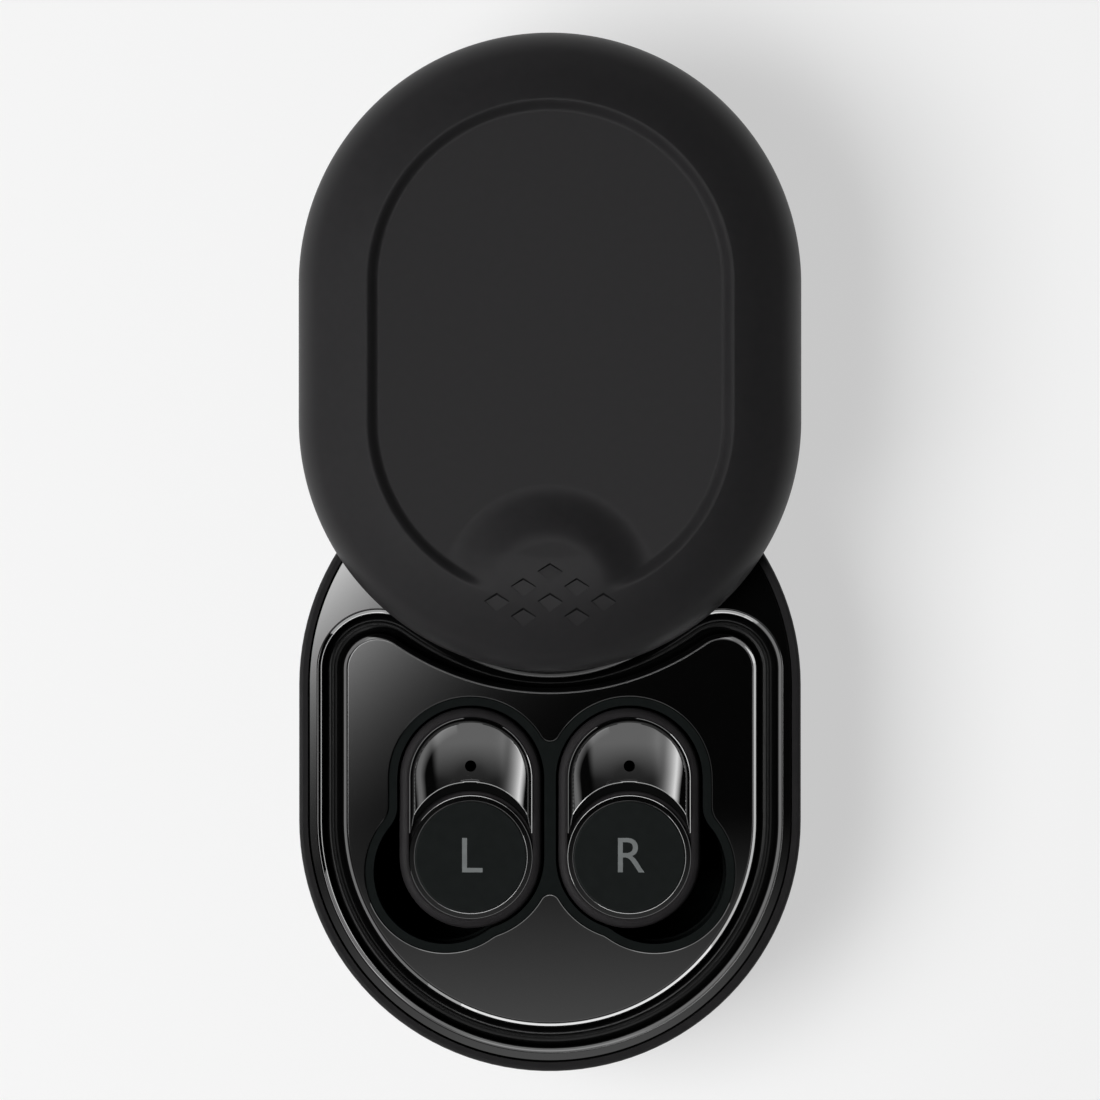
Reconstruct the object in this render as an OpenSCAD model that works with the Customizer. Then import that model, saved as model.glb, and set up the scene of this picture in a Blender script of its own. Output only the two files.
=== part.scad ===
// Sliding charging case for a pair of wireless earbuds, shown with the lid slid open.
// Millimetres. The origin is the middle of the flat underside of the base, +Z is up and
// +Y is the way the lid slides to open.

/* [Case] */
// Width of the closed case
case_w = 61.5; // [61.5:0.5:70]
// Length of the closed case, along the slide
case_l = 78.2; // [76:0.2:88]
// Height of the base, from the table to its rim
base_h = 22.6; // [22:0.1:28]
// Radius of the round lower edge of the base
base_round = 12; // [9:0.5:14]
// Radius of the outer edge of the base's rim
rim_round = 0.5; // [0.2:0.1:0.8]
// Thickness of the moulded walls
wall = 1.6; // [1.3:0.1:1.8]
// Clearance between fixed pieces that drop into each other
fit = 0.1; // [0.05:0.05:0.2]

/* [Lid] */
// Height of the lid, from its lower edge to its crown
lid_h = 10; // [9:0.1:13]
// Gap between the base's rim and the lid's lower edge
lid_gap = 0.4; // [0.3:0.05:0.6]
// How far the lid slides between closed and open
slide_travel = 49; // [48:0.5:51]
// Height of the upright part of the lid's side
lid_side_h = 1.5; // [1:0.1:2.5]
// Radius of the lid's shoulder
lid_shoulder_r = 6; // [4:0.5:7]
// Radius of the domed ring, across the ring
lid_ring_r = 20; // [16:0.5:26]
// Width of the ring round the recess
ring_w = 9.05; // [7:0.05:12]
// Depth of the recess below the crown
recess_depth = 1.8; // [1.4:0.1:2.4]
// Radius at the foot of the recess wall
recess_foot_r = 0.9; // [0.4:0.1:1.2]
// Radius at the top of the recess wall
recess_lip_r = 0.8; // [0.3:0.1:1.2]
// Thickness of the plate that closes the lid from below
liner_t = 1.4; // [1.2:0.1:2]

/* [Thumb pad] */
// Radius of the thumb pad
pad_r = 9.6; // [8:0.1:11]
// Distance of the pad's centre from the front end of the lid
pad_set = 9.9; // [9:0.1:12]
// Width of the soft slope round the pad, half of it round and half of it hollow
pad_flare = 2.6; // [2:0.1:3]
// Number of chevrons in each row, from the back
chevron_rows = [1, 2, 3, 2];
// Distance of the first chevron's tip behind the pad's centre
chevron_set = 3.2; // [2:0.1:4]
// Distance between rows of chevrons
chevron_pitch = 1.83; // [1.6:0.01:2.2]
// Distance between neighbouring chevrons in a row
chevron_gap = 6.48; // [5.5:0.02:7]
// Half the width of a chevron
chevron_half_w = 1.53; // [1:0.01:2]
// Height of a chevron
chevron_h = 0.9; // [0.5:0.05:1.2]
// Length over which a chevron's dent runs out below its arms
chevron_ramp = 1.1; // [0.6:0.1:1.4]
// Depth of a chevron
chevron_depth = 0.25; // [0.15:0.05:0.4]

/* [Deck] */
// Width of the matte rim round the deck
rim_w = 1.05; // [0.9:0.05:1.25]
// Depth of the deck below the rim
deck_drop = 1.6; // [1.2:0.1:2.2]
// Thickness of the deck
deck_t = 1.5; // [1.2:0.1:2]
// Width of the deck's band outside the gutter
band_w = 1.83; // [1.7:0.01:2.1]
// Width of the gutter
gutter_w = 2.35; // [2:0.05:2.8]
// Depth of the gutter
gutter_depth = 2.2; // [1.4:0.1:2.6]
// Radius of the gutter's upper edges
gutter_lip_r = 0.8; // [0.4:0.05:0.9]
// Radius of the gutter's lower corners
gutter_foot_r = 1.1; // [0.4:0.05:1.15]
// Radius of the island's back corners
island_corner_r = 4.35; // [3:0.05:6]
// How far the gutter reaches under the edge of the open lid
gutter_tuck = 0.35; // [0.2:0.05:1]

/* [Cradle] */
// Width of the cradle's lip round the wells
lip_w = 1; // [0.8:0.05:1.1]
// Depth of the cradle's lip below the deck
lip_drop = 0.2; // [0.1:0.05:0.4]
// Thickness of the cradle's walls
cradle_t = 0.9; // [0.8:0.1:1.1]
// Width of the flange that holds the cradle under the deck
flange_w = 0.8; // [0.6:0.1:1]
// Distance between the back ends of the wells and the island's hollow back edge
cradle_set = 11.21; // [10.8:0.01:12]
// Web between the two wells
well_web = 1.4; // [1:0.1:1.9]
// Clearance round an earbud in its well
well_clear = 0.28; // [0.2:0.02:0.4]
// Radius of the finger scoop, which is also the ear tip's well
scoop_r = 8.84; // [8.4:0.02:9]
// Offset of the scoop, outwards from the earbud's disc
scoop_out = 3.1; // [2.6:0.05:3.4]
// Offset of the scoop, forwards from the earbud's disc
scoop_fwd = 1.83; // [1.4:0.05:2.2]
// Radius of the hollow blend between a well and its scoop
scoop_blend = 4; // [3:0.1:5]
// Radius of the two notches between the wells
notch_r = 1.3; // [1.1:0.1:1.6]
// How much narrower the ear tip's well is below the earbud's seat
tip_well_step = 0.3; // [0.2:0.05:0.5]
// Radius of the lower corner of the ear tip's well
tip_well_round = 5; // [3:0.5:6]

/* [Earbud] */
// Radius of the earbud's outline
bud_r = 8.75; // [8.3:0.05:8.95]
// Distance between the centres of the outline's two ends
bud_run = 9.6; // [8.5:0.1:10.2]
// Height of the earbud's body, from its underside to its rim
bud_h = 7.6; // [7.4:0.1:8]
// Height of the stem cap above the rim
cap_rise = 1.7; // [1.3:0.1:1.8]
// Gap between the stem caps and the closed lid
cap_gap = 0.45; // [0.35:0.05:0.8]
// Clearance between an earbud's underside and its seat
seat_clear = 0.25; // [0.15:0.05:0.35]
// Width of the matte band round the earbud's face
bud_band = 1.13; // [0.9:0.01:1.3]
// Radius of the shoulder of that band
bud_shoulder_r = 0.95; // [0.5:0.05:1.1]
// Radius of the lower edge of the ear side
bud_belly_r = 2.6; // [1.5:0.1:3]
// Thickness of the earbud's walls
bud_wall = 0.9; // [0.8:0.05:1]
// Depth of the seat of the cap and the disc
face_depth = 0.8; // [0.6:0.05:1]
// Height of the joint between the two shells, above the underside
bud_split = 3.8; // [3:0.1:4.5]
// Radius of the touch disc
disc_r = 6.87; // [6:0.01:7]
// Width of the stem cap's sloping front wall, seen from above
cap_lean = 1.25; // [0.8:0.05:1.6]
// Radius of the stem cap's edge
cap_edge_r = 1; // [0.6:0.05:1.2]
// Radius of the stem cap's crown, across the cap
cap_crown_r = 18; // [14:0.5:24]
// Depth of the ring round the disc below the rim
ring_drop = 0.25; // [0.1:0.05:0.4]
// Radius of the disc's edge
disc_edge_r = 0.2; // [0.1:0.05:0.3]
// Radius of the microphone hole
mic_hole_r = 0.65; // [0.4:0.05:0.8]
// Width of the microphone
mic_w = 3.2; // [2.4:0.1:3.6]
// Depth of the microphone, along the earbud
mic_d = 2.4; // [2:0.1:2.8]
// Height of the microphone
mic_h = 1; // [0.8:0.1:1.1]
// Distance of the microphone hole from the disc's centre
mic_set = 11.23; // [10.5:0.01:12]

/* [Ear side] */
// Lean of the nozzle from upright
nozzle_lean = 12; // [6:1:16]
// Offset of the nozzle's root from the disc's centre
nozzle_root = 1.4; // [0.8:0.1:2]
// Radius of the boss that carries the nozzle
boss_r = 6.2; // [6:0.1:6.5]
// Length of the boss
boss_l = 5.4; // [5:0.1:5.6]
// Radius of the boss's round end
boss_round = 3; // [2.6:0.1:3.2]
// Length of the nozzle beyond the boss
nozzle_l = 3.8; // [3:0.1:4]
// Outer radius of the nozzle
nozzle_r = 2.7; // [2.5:0.05:2.9]
// Radius of the sound bore
sound_r = 1.9; // [1.6:0.05:2]
// Radius of the ear tip's dome
tip_r = 6.2; // [5.5:0.1:6.4]
// Thickness of the ear tip's skin
tip_skin = 0.7; // [0.5:0.05:0.9]
// Length of the ear tip beyond the nozzle's end
tip_over = 0.7; // [0.5:0.1:1]
// Height of the collar at the nozzle's end, which keeps the ear tip on
collar_w = 0.3; // [0.2:0.05:0.4]
// Length of that collar
collar_l = 0.7; // [0.5:0.05:1]
// Thickness of the nozzle's mesh
mesh_t = 0.3; // [0.2:0.05:0.4]
// Height of the driver
driver_h = 2.6; // [2.2:0.1:2.7]
// Radius of the earbud's cell
bud_cell_r = 5.6; // [5:0.1:6]
// Height of the earbud's cell
bud_cell_h = 2; // [1.6:0.1:2.1]
// Least gap between the ear tip's well and the base's floor
floor_gap = 0.3; // [0.2:0.05:1]
// Clearance between the ear tip and the bottom of its well
tip_clear = 0.5; // [0.3:0.05:0.8]

/* [Slide] */
// Distance of the slide shoes from the middle
slide_x = 12; // [10:0.5:13]
// Length of a shoe
shoe_l = 10; // [8:0.5:12]
// Width of a shoe's neck
neck_w = 3; // [2.6:0.1:3.4]
// How far the neck's ends lie inside the ends of the head
neck_in = 0.3; // [0.2:0.05:0.6]
// Width of a shoe's head, and of its foot
shoe_w = 5.6; // [5:0.1:6]
// Thickness of a shoe's head
head_t = 1.2; // [1:0.1:1.6]
// Running clearance of a shoe in its rail
run_clear = 0.15; // [0.1:0.05:0.2]
// Thickness of the rails' sheet steel
rail_t = 0.5; // [0.4:0.05:0.7]
// Gap left at each end stop
stop_gap = 0.3; // [0.2:0.05:0.5]
// Distance of the catch magnet from the front end of the lid
catch_set = 10; // [9.5:0.1:12]
// Radius of the catch magnets
catch_r = 3; // [2.5:0.1:3]
// Thickness of the catch magnets
catch_h = 1.8; // [1.5:0.1:2.2]
// Wall of the cups that hold the catch magnets
cup_t = 0.8; // [0.6:0.1:1]
// Width of the metal round a screw's head on a rail's tab
ear_w = 0.3; // [0.2:0.05:0.4]
// Plastic left under a rail's screw holes
screw_floor = 0.4; // [0.3:0.05:0.6]

/* [Inside] */
// How far the battery reaches behind the centre of the base's back end
cell_reach = 18.4; // [15:0.1:19]
// Width of the battery
cell_w = 26; // [22:0.5:28]
// Height of the battery
cell_h = 7.6; // [6:0.1:8]
// Radius of the battery's upright edges
cell_edge_r = 2; // [1:0.1:3]
// Radius of the charging coil
coil_r = 13; // [11:0.5:14]
// Radius of the hole in the charging coil
coil_hole_r = 5.5; // [4:0.5:8]
// Thickness of the charging coil
coil_t = 0.8; // [0.6:0.1:1]
// Thickness of the ferrite shield over the coil
shield_t = 0.4; // [0.3:0.1:0.6]
// Thickness of the circuit boards
board_t = 0.8; // [0.6:0.1:1]
// Distance of the main board's edge from the base's wall
board_gap = 1.4; // [1.3:0.1:2]
// Gap over the battery
cell_gap = 0.5; // [0.3:0.1:0.9]
// Radius of the posts under the main board
post_r = 1.8; // [1.5:0.1:2.2]
// Distance of the posts from the base's wall
post_set = 6; // [5:0.5:7]
// Distance of the front posts from the main board's front edge
post_front = 3.1; // [2.5:0.1:5]
// Angle of the back posts from the middle
post_angle = 48; // [42:1:60]
// Radius of a screw's shank
screw_r = 0.6; // [0.5:0.05:0.7]
// Radius of a screw's head
screw_head_r = 1.2; // [1:0.05:1.3]
// Height of a screw's head
screw_head_h = 0.7; // [0.5:0.1:0.9]
// Length of the screws under their heads
screw_l = 3; // [2.6:0.1:3.4]
// Radius of a charging pin
pin_r = 0.55; // [0.45:0.05:0.6]
// Distance between the two charging pins of an earbud
pin_pitch = 4; // [3.4:0.1:5]
// Length of a pin's barrel under the well's floor
barrel_l = 2.9; // [2.4:0.1:3.4]
// Wall of a pin's barrel
barrel_t = 0.35; // [0.3:0.05:0.4]
// Radius of an earbud's charging contact
contact_r = 0.9; // [0.7:0.05:1.1]
// Length of the magnets that pull an earbud into its well
magnet_l = 5; // [4:0.1:6]
// Width of those magnets
magnet_w = 2.4; // [2:0.1:2.6]
// Height of those magnets
magnet_h = 1.6; // [1.2:0.1:1.8]
// Travel of a charging pin
pin_travel = 0.4; // [0.3:0.05:0.6]

/* [Back end] */
// Width of the charging socket
socket_w = 8.94; // [8.9:0.02:9]
// Height of the charging socket
socket_h = 3.26; // [3.2:0.02:3.3]
// Length of the charging socket
socket_l = 7.3; // [6.5:0.1:8]
// Sheet thickness of the charging socket
socket_t = 0.3; // [0.2:0.05:0.4]
// Depth of the socket's mouth inside the wall's outer face
socket_sink = 0.5; // [0.3:0.1:0.8]
// Angle of the pairing button and of the status light from the middle
side_angle = 22; // [18:1:30]
// Radius of the pairing button
button_r = 2; // [1.6:0.1:2.4]
// How far the pairing button stands out
button_out = 0.15; // [0.05:0.05:0.3]
// Travel of the pairing button
button_travel = 0.35; // [0.2:0.05:0.4]
// Width of the button's flange behind the wall
button_flange_w = 0.6; // [0.4:0.1:0.8]
// Thickness of that flange
button_flange_t = 0.6; // [0.4:0.1:0.8]
// Width of the pairing switch
switch_w = 4.5; // [3.5:0.1:5]
// Depth of the pairing switch
switch_d = 2.2; // [1.8:0.1:2.6]
// Width of the status lamp
lamp_w = 1.6; // [1:0.1:2]
// Depth of the status lamp
lamp_d = 0.8; // [0.5:0.1:1]
// Width of the socket's tongue
tongue_w = 6.7; // [6.6:0.02:6.8]
// Thickness of the socket's tongue
tongue_t = 0.7; // [0.6:0.02:0.74]
// Thickness of the socket's back wall
socket_back = 1.2; // [0.8:0.1:2]
// Radius of the status light
light_r = 0.8; // [0.6:0.1:1]

/* [Hidden] */
$fn = 96;
// Spare length by which a cut passes the face that it opens
over = 1;
// Overlap by which two arcs that touch run into each other
seam = 0.01;
// Overlap by which the pieces of a sweep run into each other along it
lap = 0.14;

case_r = case_w / 2;
run = (case_l - case_w) / 2;
lid_z = base_h + lid_gap;
lid_top = lid_z + lid_h;
lid_side_z = lid_z + lid_side_h;
recess_z = lid_top - recess_depth;
recess_r = case_r - ring_w;
pad_y = pad_set - case_l / 2;
chevron_lean = atan2(chevron_depth + fit / 2, chevron_h + chevron_ramp);
pad_turn = 2 * atan2(recess_depth, pad_flare);
pad_slope_r = pad_flare / 2 / sin(pad_turn);
pad_in = pad_r - pad_flare / 4;

deck_z = base_h - deck_drop;
ledge_z = deck_z - deck_t;
deck_r = case_r - rim_w - fit;
gutter_z = deck_z - gutter_depth;
gutter_wall = rim_w + band_w - wall - fit;
island_r = case_r - rim_w - band_w - gutter_w;
// The island's back edge is hollow, about the centre of the open lid's front end
hollow_y = slide_travel - run;
hollow_r = case_r - gutter_tuck + gutter_w;
corner_x = island_r - island_corner_r;
corner_y = hollow_y - sqrt(pow(hollow_r + island_corner_r, 2) - pow(corner_x, 2));
corner_turn = atan2(hollow_y - corner_y, -corner_x);
hollow_half = atan2(corner_x, hollow_y - corner_y) + asin(lap / hollow_r);

lip_z = deck_z - lip_drop;
flange_t = cradle_t;
well_r = bud_r + well_clear;
bud_x = well_r + well_web / 2;
stem_y = hollow_y - hollow_r - cradle_set;
bud_y = stem_y - bud_run;
scoop_x = bud_x + scoop_out;
scoop_y = bud_y - scoop_fwd;

cap_z = lid_z - cap_gap;
bud_z = cap_z - cap_rise;
belly_z = bud_z - bud_h;
split_z = belly_z + bud_split;
face_z = bud_z - face_depth;
seat_z = belly_z - seat_clear;
inner_r = bud_r - bud_wall;
seat_r = bud_r - bud_band;
face_fit = fit / 2;
nozzle_turn = atan2(-scoop_fwd, scoop_out);
boss_z = belly_z + bud_wall + boss_round / 4;
tip_mid = boss_l + tip_skin / 2;
// The nozzle is shorter in a base that leaves less room under the ear tip
tip_room = boss_z - wall - floor_gap - cradle_t - tip_clear;
room_turn = nozzle_lean + acos(min(1, (tip_room - tip_mid * cos(nozzle_lean)) / tip_r));
nozzle_end = min(boss_l + nozzle_l, tip_mid + tip_r * cos(room_turn) - tip_over);
tip_end = nozzle_end + tip_over;
tip_top_r = sqrt(tip_r * tip_r - pow(tip_end - tip_mid, 2));
tip_low = boss_z - tip_end * cos(nozzle_lean) - tip_top_r * sin(nozzle_lean);
tip_well_z = tip_low - tip_clear;
tip_well_r = scoop_r - tip_well_step;

liner_r = case_r - wall - fit;
rail_z = lid_z + liner_t;
head_z = rail_z + rail_t + run_clear;
foot_z = lid_z - lid_gap - run_clear;
slide_y = slide_travel / 2;
shoe_run = (shoe_l - shoe_w) / 2;
neck_run = (shoe_l - neck_w) / 2 - neck_in;
rail_in_r = shoe_w / 2 + run_clear;
rail_run = shoe_run + slide_y + stop_gap - run_clear;
slot_r = neck_w / 2 + run_clear;
slot_run = neck_run + slide_y + stop_gap - run_clear;
ear_r = screw_head_r + ear_w;
tab_x = rail_in_r + rail_t + screw_head_r + fit;
tab_y = rail_run - ear_r;
shoe_screw_y = shoe_l / 4;
catch_y = catch_set - case_l / 2;

floor_r = case_r - base_round;
shield_z = wall + coil_t;
cell_z = shield_z + shield_t;
board_z = cell_z + cell_h + cell_gap;
board_top = board_z + board_t;
board_front = stem_y + well_r + cradle_t + over;
cell_front = board_front - cradle_t;
cell_l = run + cell_reach - cell_front;
cell_y = cell_front + cell_l / 2;
coil_y = run + floor_r - coil_r - fit;
post_r_mid = case_r - wall - post_set;
port_z = board_top + socket_h / 2;
back_y = case_l / 2;
button_back = case_r - wall - fit - button_flange_t;
light_back = case_r - wall - over;
pin_y = stem_y;
pin_top = belly_z - seat_clear / 4;
seat_floor = seat_z - cradle_t;
barrel_r = pin_r + fit + barrel_t;
pin_board_z = seat_floor - barrel_l;
bud_board_z = face_z - bud_wall - board_t;
stud_x = bud_r - bud_wall - screw_head_r;

soft_black = [0.16, 0.16, 0.17];
rim_black = [0.15, 0.15, 0.15];
gloss_black = [0.04, 0.04, 0.04];
liner_black = [0.1, 0.11, 0.11];
steel = [0.72, 0.72, 0.74];
gold = [0.83, 0.68, 0.35];
board_green = [0.07, 0.3, 0.16];
foil = [0.6, 0.62, 0.66];
ferrite = [0.2, 0.19, 0.19];
silicone = [0.12, 0.12, 0.12];

// Shapes shared by several pieces

// Outline with two straight sides along Y and round ends
module stadium(r, half_run) {
    for (s = [-1, 1])
        translate([0, s * half_run]) circle(r);
    translate([-r, -half_run]) square([2 * r, 2 * half_run]);
}

// Plate with a stadium outline between two heights
module stadium_plate(r, half_run, z0, z1) {
    translate([0, 0, z0]) linear_extrude(z1 - z0) stadium(r, half_run);
}

// Turns a half section about both ends of a stadium and joins them with straight sides
module stadium_sweep(half_run) {
    for (s = [0, 1])
        rotate([0, 0, 180 * s]) translate([0, half_run, 0]) rotate_extrude(angle = 180) children();
    rotate([90, 0, 0]) linear_extrude(2 * half_run, center = true) {
        children();
        mirror([1, 0]) children();
    }
}

// What a round corner of radius r leaves of a square corner at the origin, to the right and below
module corner_cut(r) {
    difference() {
        translate([-r, -over]) square(r + over);
        translate([-r, r]) circle(r);
    }
}

// Half section from the axis to radius r, with a round lower and a round upper corner
module half_section(r, z0, z1, low_r, top_r) {
    difference() {
        translate([0, z0]) square([r, z1 - z0]);
        if (low_r > 0)
            translate([r, z0]) corner_cut(low_r);
        if (top_r > 0)
            translate([r, z1]) mirror([0, 1]) corner_cut(top_r);
    }
}

// Direction in which a small edge arc passes into the wide arc of a crown
function crown_lean(side_z, crest, edge_r, crown_r) =
    asin((side_z + crown_r - crest) / (crown_r - edge_r));

// Centre of the wide arc of a crown
function crown_centre(r, side_z, crest, edge_r, crown_r) =
    let (lean = crown_lean(side_z, crest, edge_r, crown_r))
    [r - edge_r - (crown_r - edge_r) * cos(lean), crest - crown_r];

// Half section with an upright side, a small edge arc and a wide crown arc, all tangent
module crown_section(r, z0, side_z, crest, edge_r, crown_r) {
    lean = crown_lean(side_z, crest, edge_r, crown_r);
    mid = crown_centre(r, side_z, crest, edge_r, crown_r);
    joint_x = r - edge_r + edge_r * cos(lean);
    translate([0, z0]) square([r, side_z - z0]);
    intersection() {
        translate([0, z0]) square([joint_x, crest - z0]);
        union() {
            translate([0, z0]) square([mid.x, crest - z0]);
            translate(mid) circle(crown_r);
        }
    }
    intersection() {
        translate([mid.x, z0]) square([r - mid.x, crest - z0]);
        translate([r - edge_r, side_z]) circle(edge_r + seam);
    }
}

// Centre of a circle of radius blend that touches two circles from outside, on the side of
// their centre line that lies to the right when looking from the first to the second
function blend_centre(a, ra, b, rb, blend) =
    let (
        gap = norm(b - a),
        u = (b - a) / gap,
        along = (pow(ra + blend, 2) - pow(rb + blend, 2) + gap * gap) / (2 * gap),
        aside = sqrt(pow(ra + blend, 2) - along * along)
    )
    a + along * u + aside * [u.y, -u.x];

// Fill between two overlapping circles, hollowed by the blend circle
module blend_fill(a, b, centre, r) {
    difference() {
        polygon([a, centre, b]);
        translate(centre) circle(r + seam);
    }
}

module sided(s) {
    mirror([s < 0 ? 1 : 0, 0, 0]) children();
}

// Pan head screw that points up from the height z
module screw(z) {
    translate([0, 0, z - screw_head_h]) cylinder(r = screw_head_r, h = screw_head_h);
    translate([0, 0, z]) cylinder(r = screw_r, h = screw_l);
}

// Places its children at a polar place about the centre of the base's back end, with +Y outwards
module at_back(angle) {
    translate([0, run, 0]) rotate([0, 0, -angle]) children();
}

// Places its children at each post of the main board
module at_posts() {
    for (s = [-1, 1]) {
        translate([s * post_r_mid, board_front + post_front, 0]) children();
        at_back(s * post_angle) translate([0, post_r_mid, 0]) children();
    }
}

// Cylinder that lies along Y between two distances
module rod_y(r, y0, y1, z) {
    translate([0, y0, z]) rotate([-90, 0, 0]) cylinder(r = r, h = y1 - y0);
}

// Deck and gutter

// The island's outline, grown outwards by d
module island_outline(d) {
    difference() {
        union() {
            translate([0, -run]) circle(island_r + d);
            translate([-island_r - d, -run]) square([2 * (island_r + d), corner_y + run]);
            polygon([[-corner_x, corner_y], [0, hollow_y], [corner_x, corner_y]]);
        }
        translate([0, hollow_y]) circle(hollow_r - d + seam);
    }
    for (s = [-1, 1])
        translate([s * corner_x, corner_y]) circle(island_corner_r + d);
}

// Sweeps a section round the island's edge: the first child along the sides and the hollow back,
// the second one, a seam larger, round the front and the corners
module island_sweep() {
    translate([0, -run, 0]) rotate([0, 0, 180])
        rotate_extrude(angle = 180) translate([island_r, 0]) children(1);
    for (s = [-1, 1]) sided(s) {
        translate([island_r, corner_y + lap, 0]) rotate([90, 0, 0])
            linear_extrude(corner_y + run + 2 * lap) children(0);
        translate([corner_x, corner_y, 0])
            rotate_extrude(angle = corner_turn) translate([island_corner_r, 0]) children(1);
    }
    translate([0, hollow_y, 0]) rotate([0, 0, -90 - hollow_half])
        rotate_extrude(angle = 2 * hollow_half) translate([hollow_r, 0]) mirror([1, 0]) children(0);
}

// Section of the gutter, with round feet and round upper edges, grown outwards by d
module gutter_section(d) {
    foot = gutter_foot_r + d;
    difference() {
        translate([-d, gutter_z - d]) square([gutter_w + 2 * d, deck_z + over - gutter_z]);
        for (x = [-d, gutter_w + d - foot])
            translate([x, gutter_z - d]) square(foot);
    }
    for (x = [gutter_foot_r, gutter_w - gutter_foot_r])
        translate([x, gutter_z + gutter_foot_r]) circle(foot);
    for (s = [0, 1])
        translate([s * gutter_w, deck_z - gutter_lip_r]) mirror([s, 0]) difference() {
            translate([-gutter_lip_r, 0]) square([gutter_lip_r, gutter_lip_r + over]);
            translate([-gutter_lip_r, 0]) circle(gutter_lip_r + 2 * seam - d);
        }
}

// Section of the trough that the gutter is cut into, grown outwards by d
module trough_section(d) {
    translate([-gutter_wall - d, gutter_z - gutter_wall - d])
        square([gutter_w + 2 * (gutter_wall + d), deck_z - gutter_lip_r - gutter_z + gutter_wall + 2 * d]);
}

// Cradle

// Outline of the right well with its finger scoop, grown outwards by d
module well_outline(d) {
    disc = [bud_x, bud_y];
    scoop = [scoop_x, scoop_y];
    side_x = bud_x + well_r + scoop_blend;
    side_y = scoop_y + sqrt(pow(scoop_r + scoop_blend, 2) - pow(side_x - scoop_x, 2));
    front = blend_centre(disc, well_r, scoop, scoop_r, scoop_blend);
    translate([bud_x, bud_y + bud_run / 2]) stadium(well_r + d, bud_run / 2);
    translate(scoop) circle(scoop_r + d);
    difference() {
        polygon([[bud_x, side_y], [side_x, side_y], scoop, [bud_x, scoop_y]]);
        translate([side_x, side_y]) circle(scoop_blend - d + seam);
    }
    blend_fill(disc, scoop, front, scoop_blend - d);
}

// Outline of the whole cradle, grown outwards by d from the edge of its lip
module cradle_outline(d) {
    rise = sqrt(pow(well_r + lip_w + notch_r, 2) - bud_x * bud_x);
    for (s = [-1, 1]) sided(s) well_outline(lip_w + d);
    translate([-bud_x, bud_y]) square([2 * bud_x, bud_run]);
    blend_fill([-bud_x, stem_y], [bud_x, stem_y], [0, stem_y + rise], notch_r - d);
    blend_fill([-bud_x, bud_y], [bud_x, bud_y], [0, bud_y - rise], notch_r - d);
}

// Places its children at each charging pin of the right well
module at_pins() {
    for (s = [-1, 1])
        translate([bud_x + s * pin_pitch / 2, pin_y, 0]) children();
}

// Places its children at the two studs that carry the charge board under the right well
module at_studs() {
    for (s = [-1, 1])
        translate([bud_x + s * stud_x, pin_y, 0]) children();
}

// Base

module base_shell() {
    color(soft_black) difference() {
        union() {
            stadium_sweep(run) difference() {
                half_section(case_r, 0, base_h, base_round, rim_round);
                half_section(case_r - wall, wall, base_h + over, base_round - wall, 0);
                translate([0, ledge_z]) square([case_r - rim_w, deck_t + deck_drop + over]);
            }
            intersection() {
                at_posts() cylinder(r = post_r, h = board_z);
                stadium_sweep(run) half_section(case_r, 0, base_h, base_round, rim_round);
            }
        }
        at_posts() translate([0, 0, board_top - screw_l - fit])
            cylinder(r = screw_r + fit / 2, h = screw_l);
        translate([0, back_y - socket_l, 0])
            socket_prism(socket_w + 2 * fit, socket_h + 2 * fit, socket_l + over);
        at_back(side_angle) rod_y(button_r + fit, case_r - wall - over, case_r + over, port_z);
        at_back(-side_angle) rod_y(light_r + fit / 2, case_r - wall - over, case_r + over, port_z);
    }
}

module deck_plate() {
    color(gloss_black) difference() {
        union() {
            stadium_plate(deck_r, run, ledge_z, deck_z);
            island_sweep() {
                trough_section(0);
                trough_section(seam);
            }
            for (y = [catch_y, catch_y + slide_travel])
                translate([0, y, ledge_z - catch_h]) cylinder(r = catch_r + fit + cup_t, h = catch_h);
        }
        island_sweep() {
            gutter_section(0);
            gutter_section(seam);
        }
        translate([0, 0, gutter_z - over]) linear_extrude(gutter_depth + 2 * over) cradle_outline(fit);
        for (y = [catch_y, catch_y + slide_travel])
            translate([0, y, ledge_z - catch_h - over]) cylinder(r = catch_r + fit, h = catch_h + over);
        for (s = [-1, 1], e = [-1, 1])
            translate([s * slide_x, slide_y + e * shoe_screw_y, ledge_z - over])
                cylinder(r = screw_r + fit, h = deck_t + 2 * over);
    }
}

module earbud_cradle() {
    color(liner_black) difference() {
        union() {
            translate([0, 0, ledge_z - flange_t])
                linear_extrude(lip_z - ledge_z + flange_t) cradle_outline(0);
            translate([0, 0, ledge_z - flange_t]) linear_extrude(flange_t) intersection() {
                cradle_outline(flange_w);
                island_outline(-gutter_wall - fit);
            }
            for (s = [-1, 1]) sided(s) {
                translate([0, 0, seat_floor]) linear_extrude(ledge_z - seat_floor) well_outline(cradle_t);
                translate([scoop_x, scoop_y, 0]) rotate_extrude()
                    half_section(tip_well_r + cradle_t, tip_well_z - cradle_t, seat_z,
                        tip_well_round + cradle_t, 0);
                at_studs() translate([0, 0, pin_board_z + board_t])
                    cylinder(r = screw_head_r, h = barrel_l - board_t + cradle_t / 2);
            }
        }
        for (s = [-1, 1]) sided(s) {
            translate([0, 0, seat_z]) linear_extrude(lip_z + over - seat_z) well_outline(0);
            translate([scoop_x, scoop_y, 0]) rotate_extrude()
                half_section(tip_well_r, tip_well_z, seat_z + over, tip_well_round, 0);
            at_pins() translate([0, 0, seat_floor - over])
                cylinder(r = pin_r + fit, h = cradle_t + 2 * over);
            at_studs() translate([0, 0, pin_board_z])
                cylinder(r = screw_r + fit / 2, h = barrel_l + fit);
        }
    }
}

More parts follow.
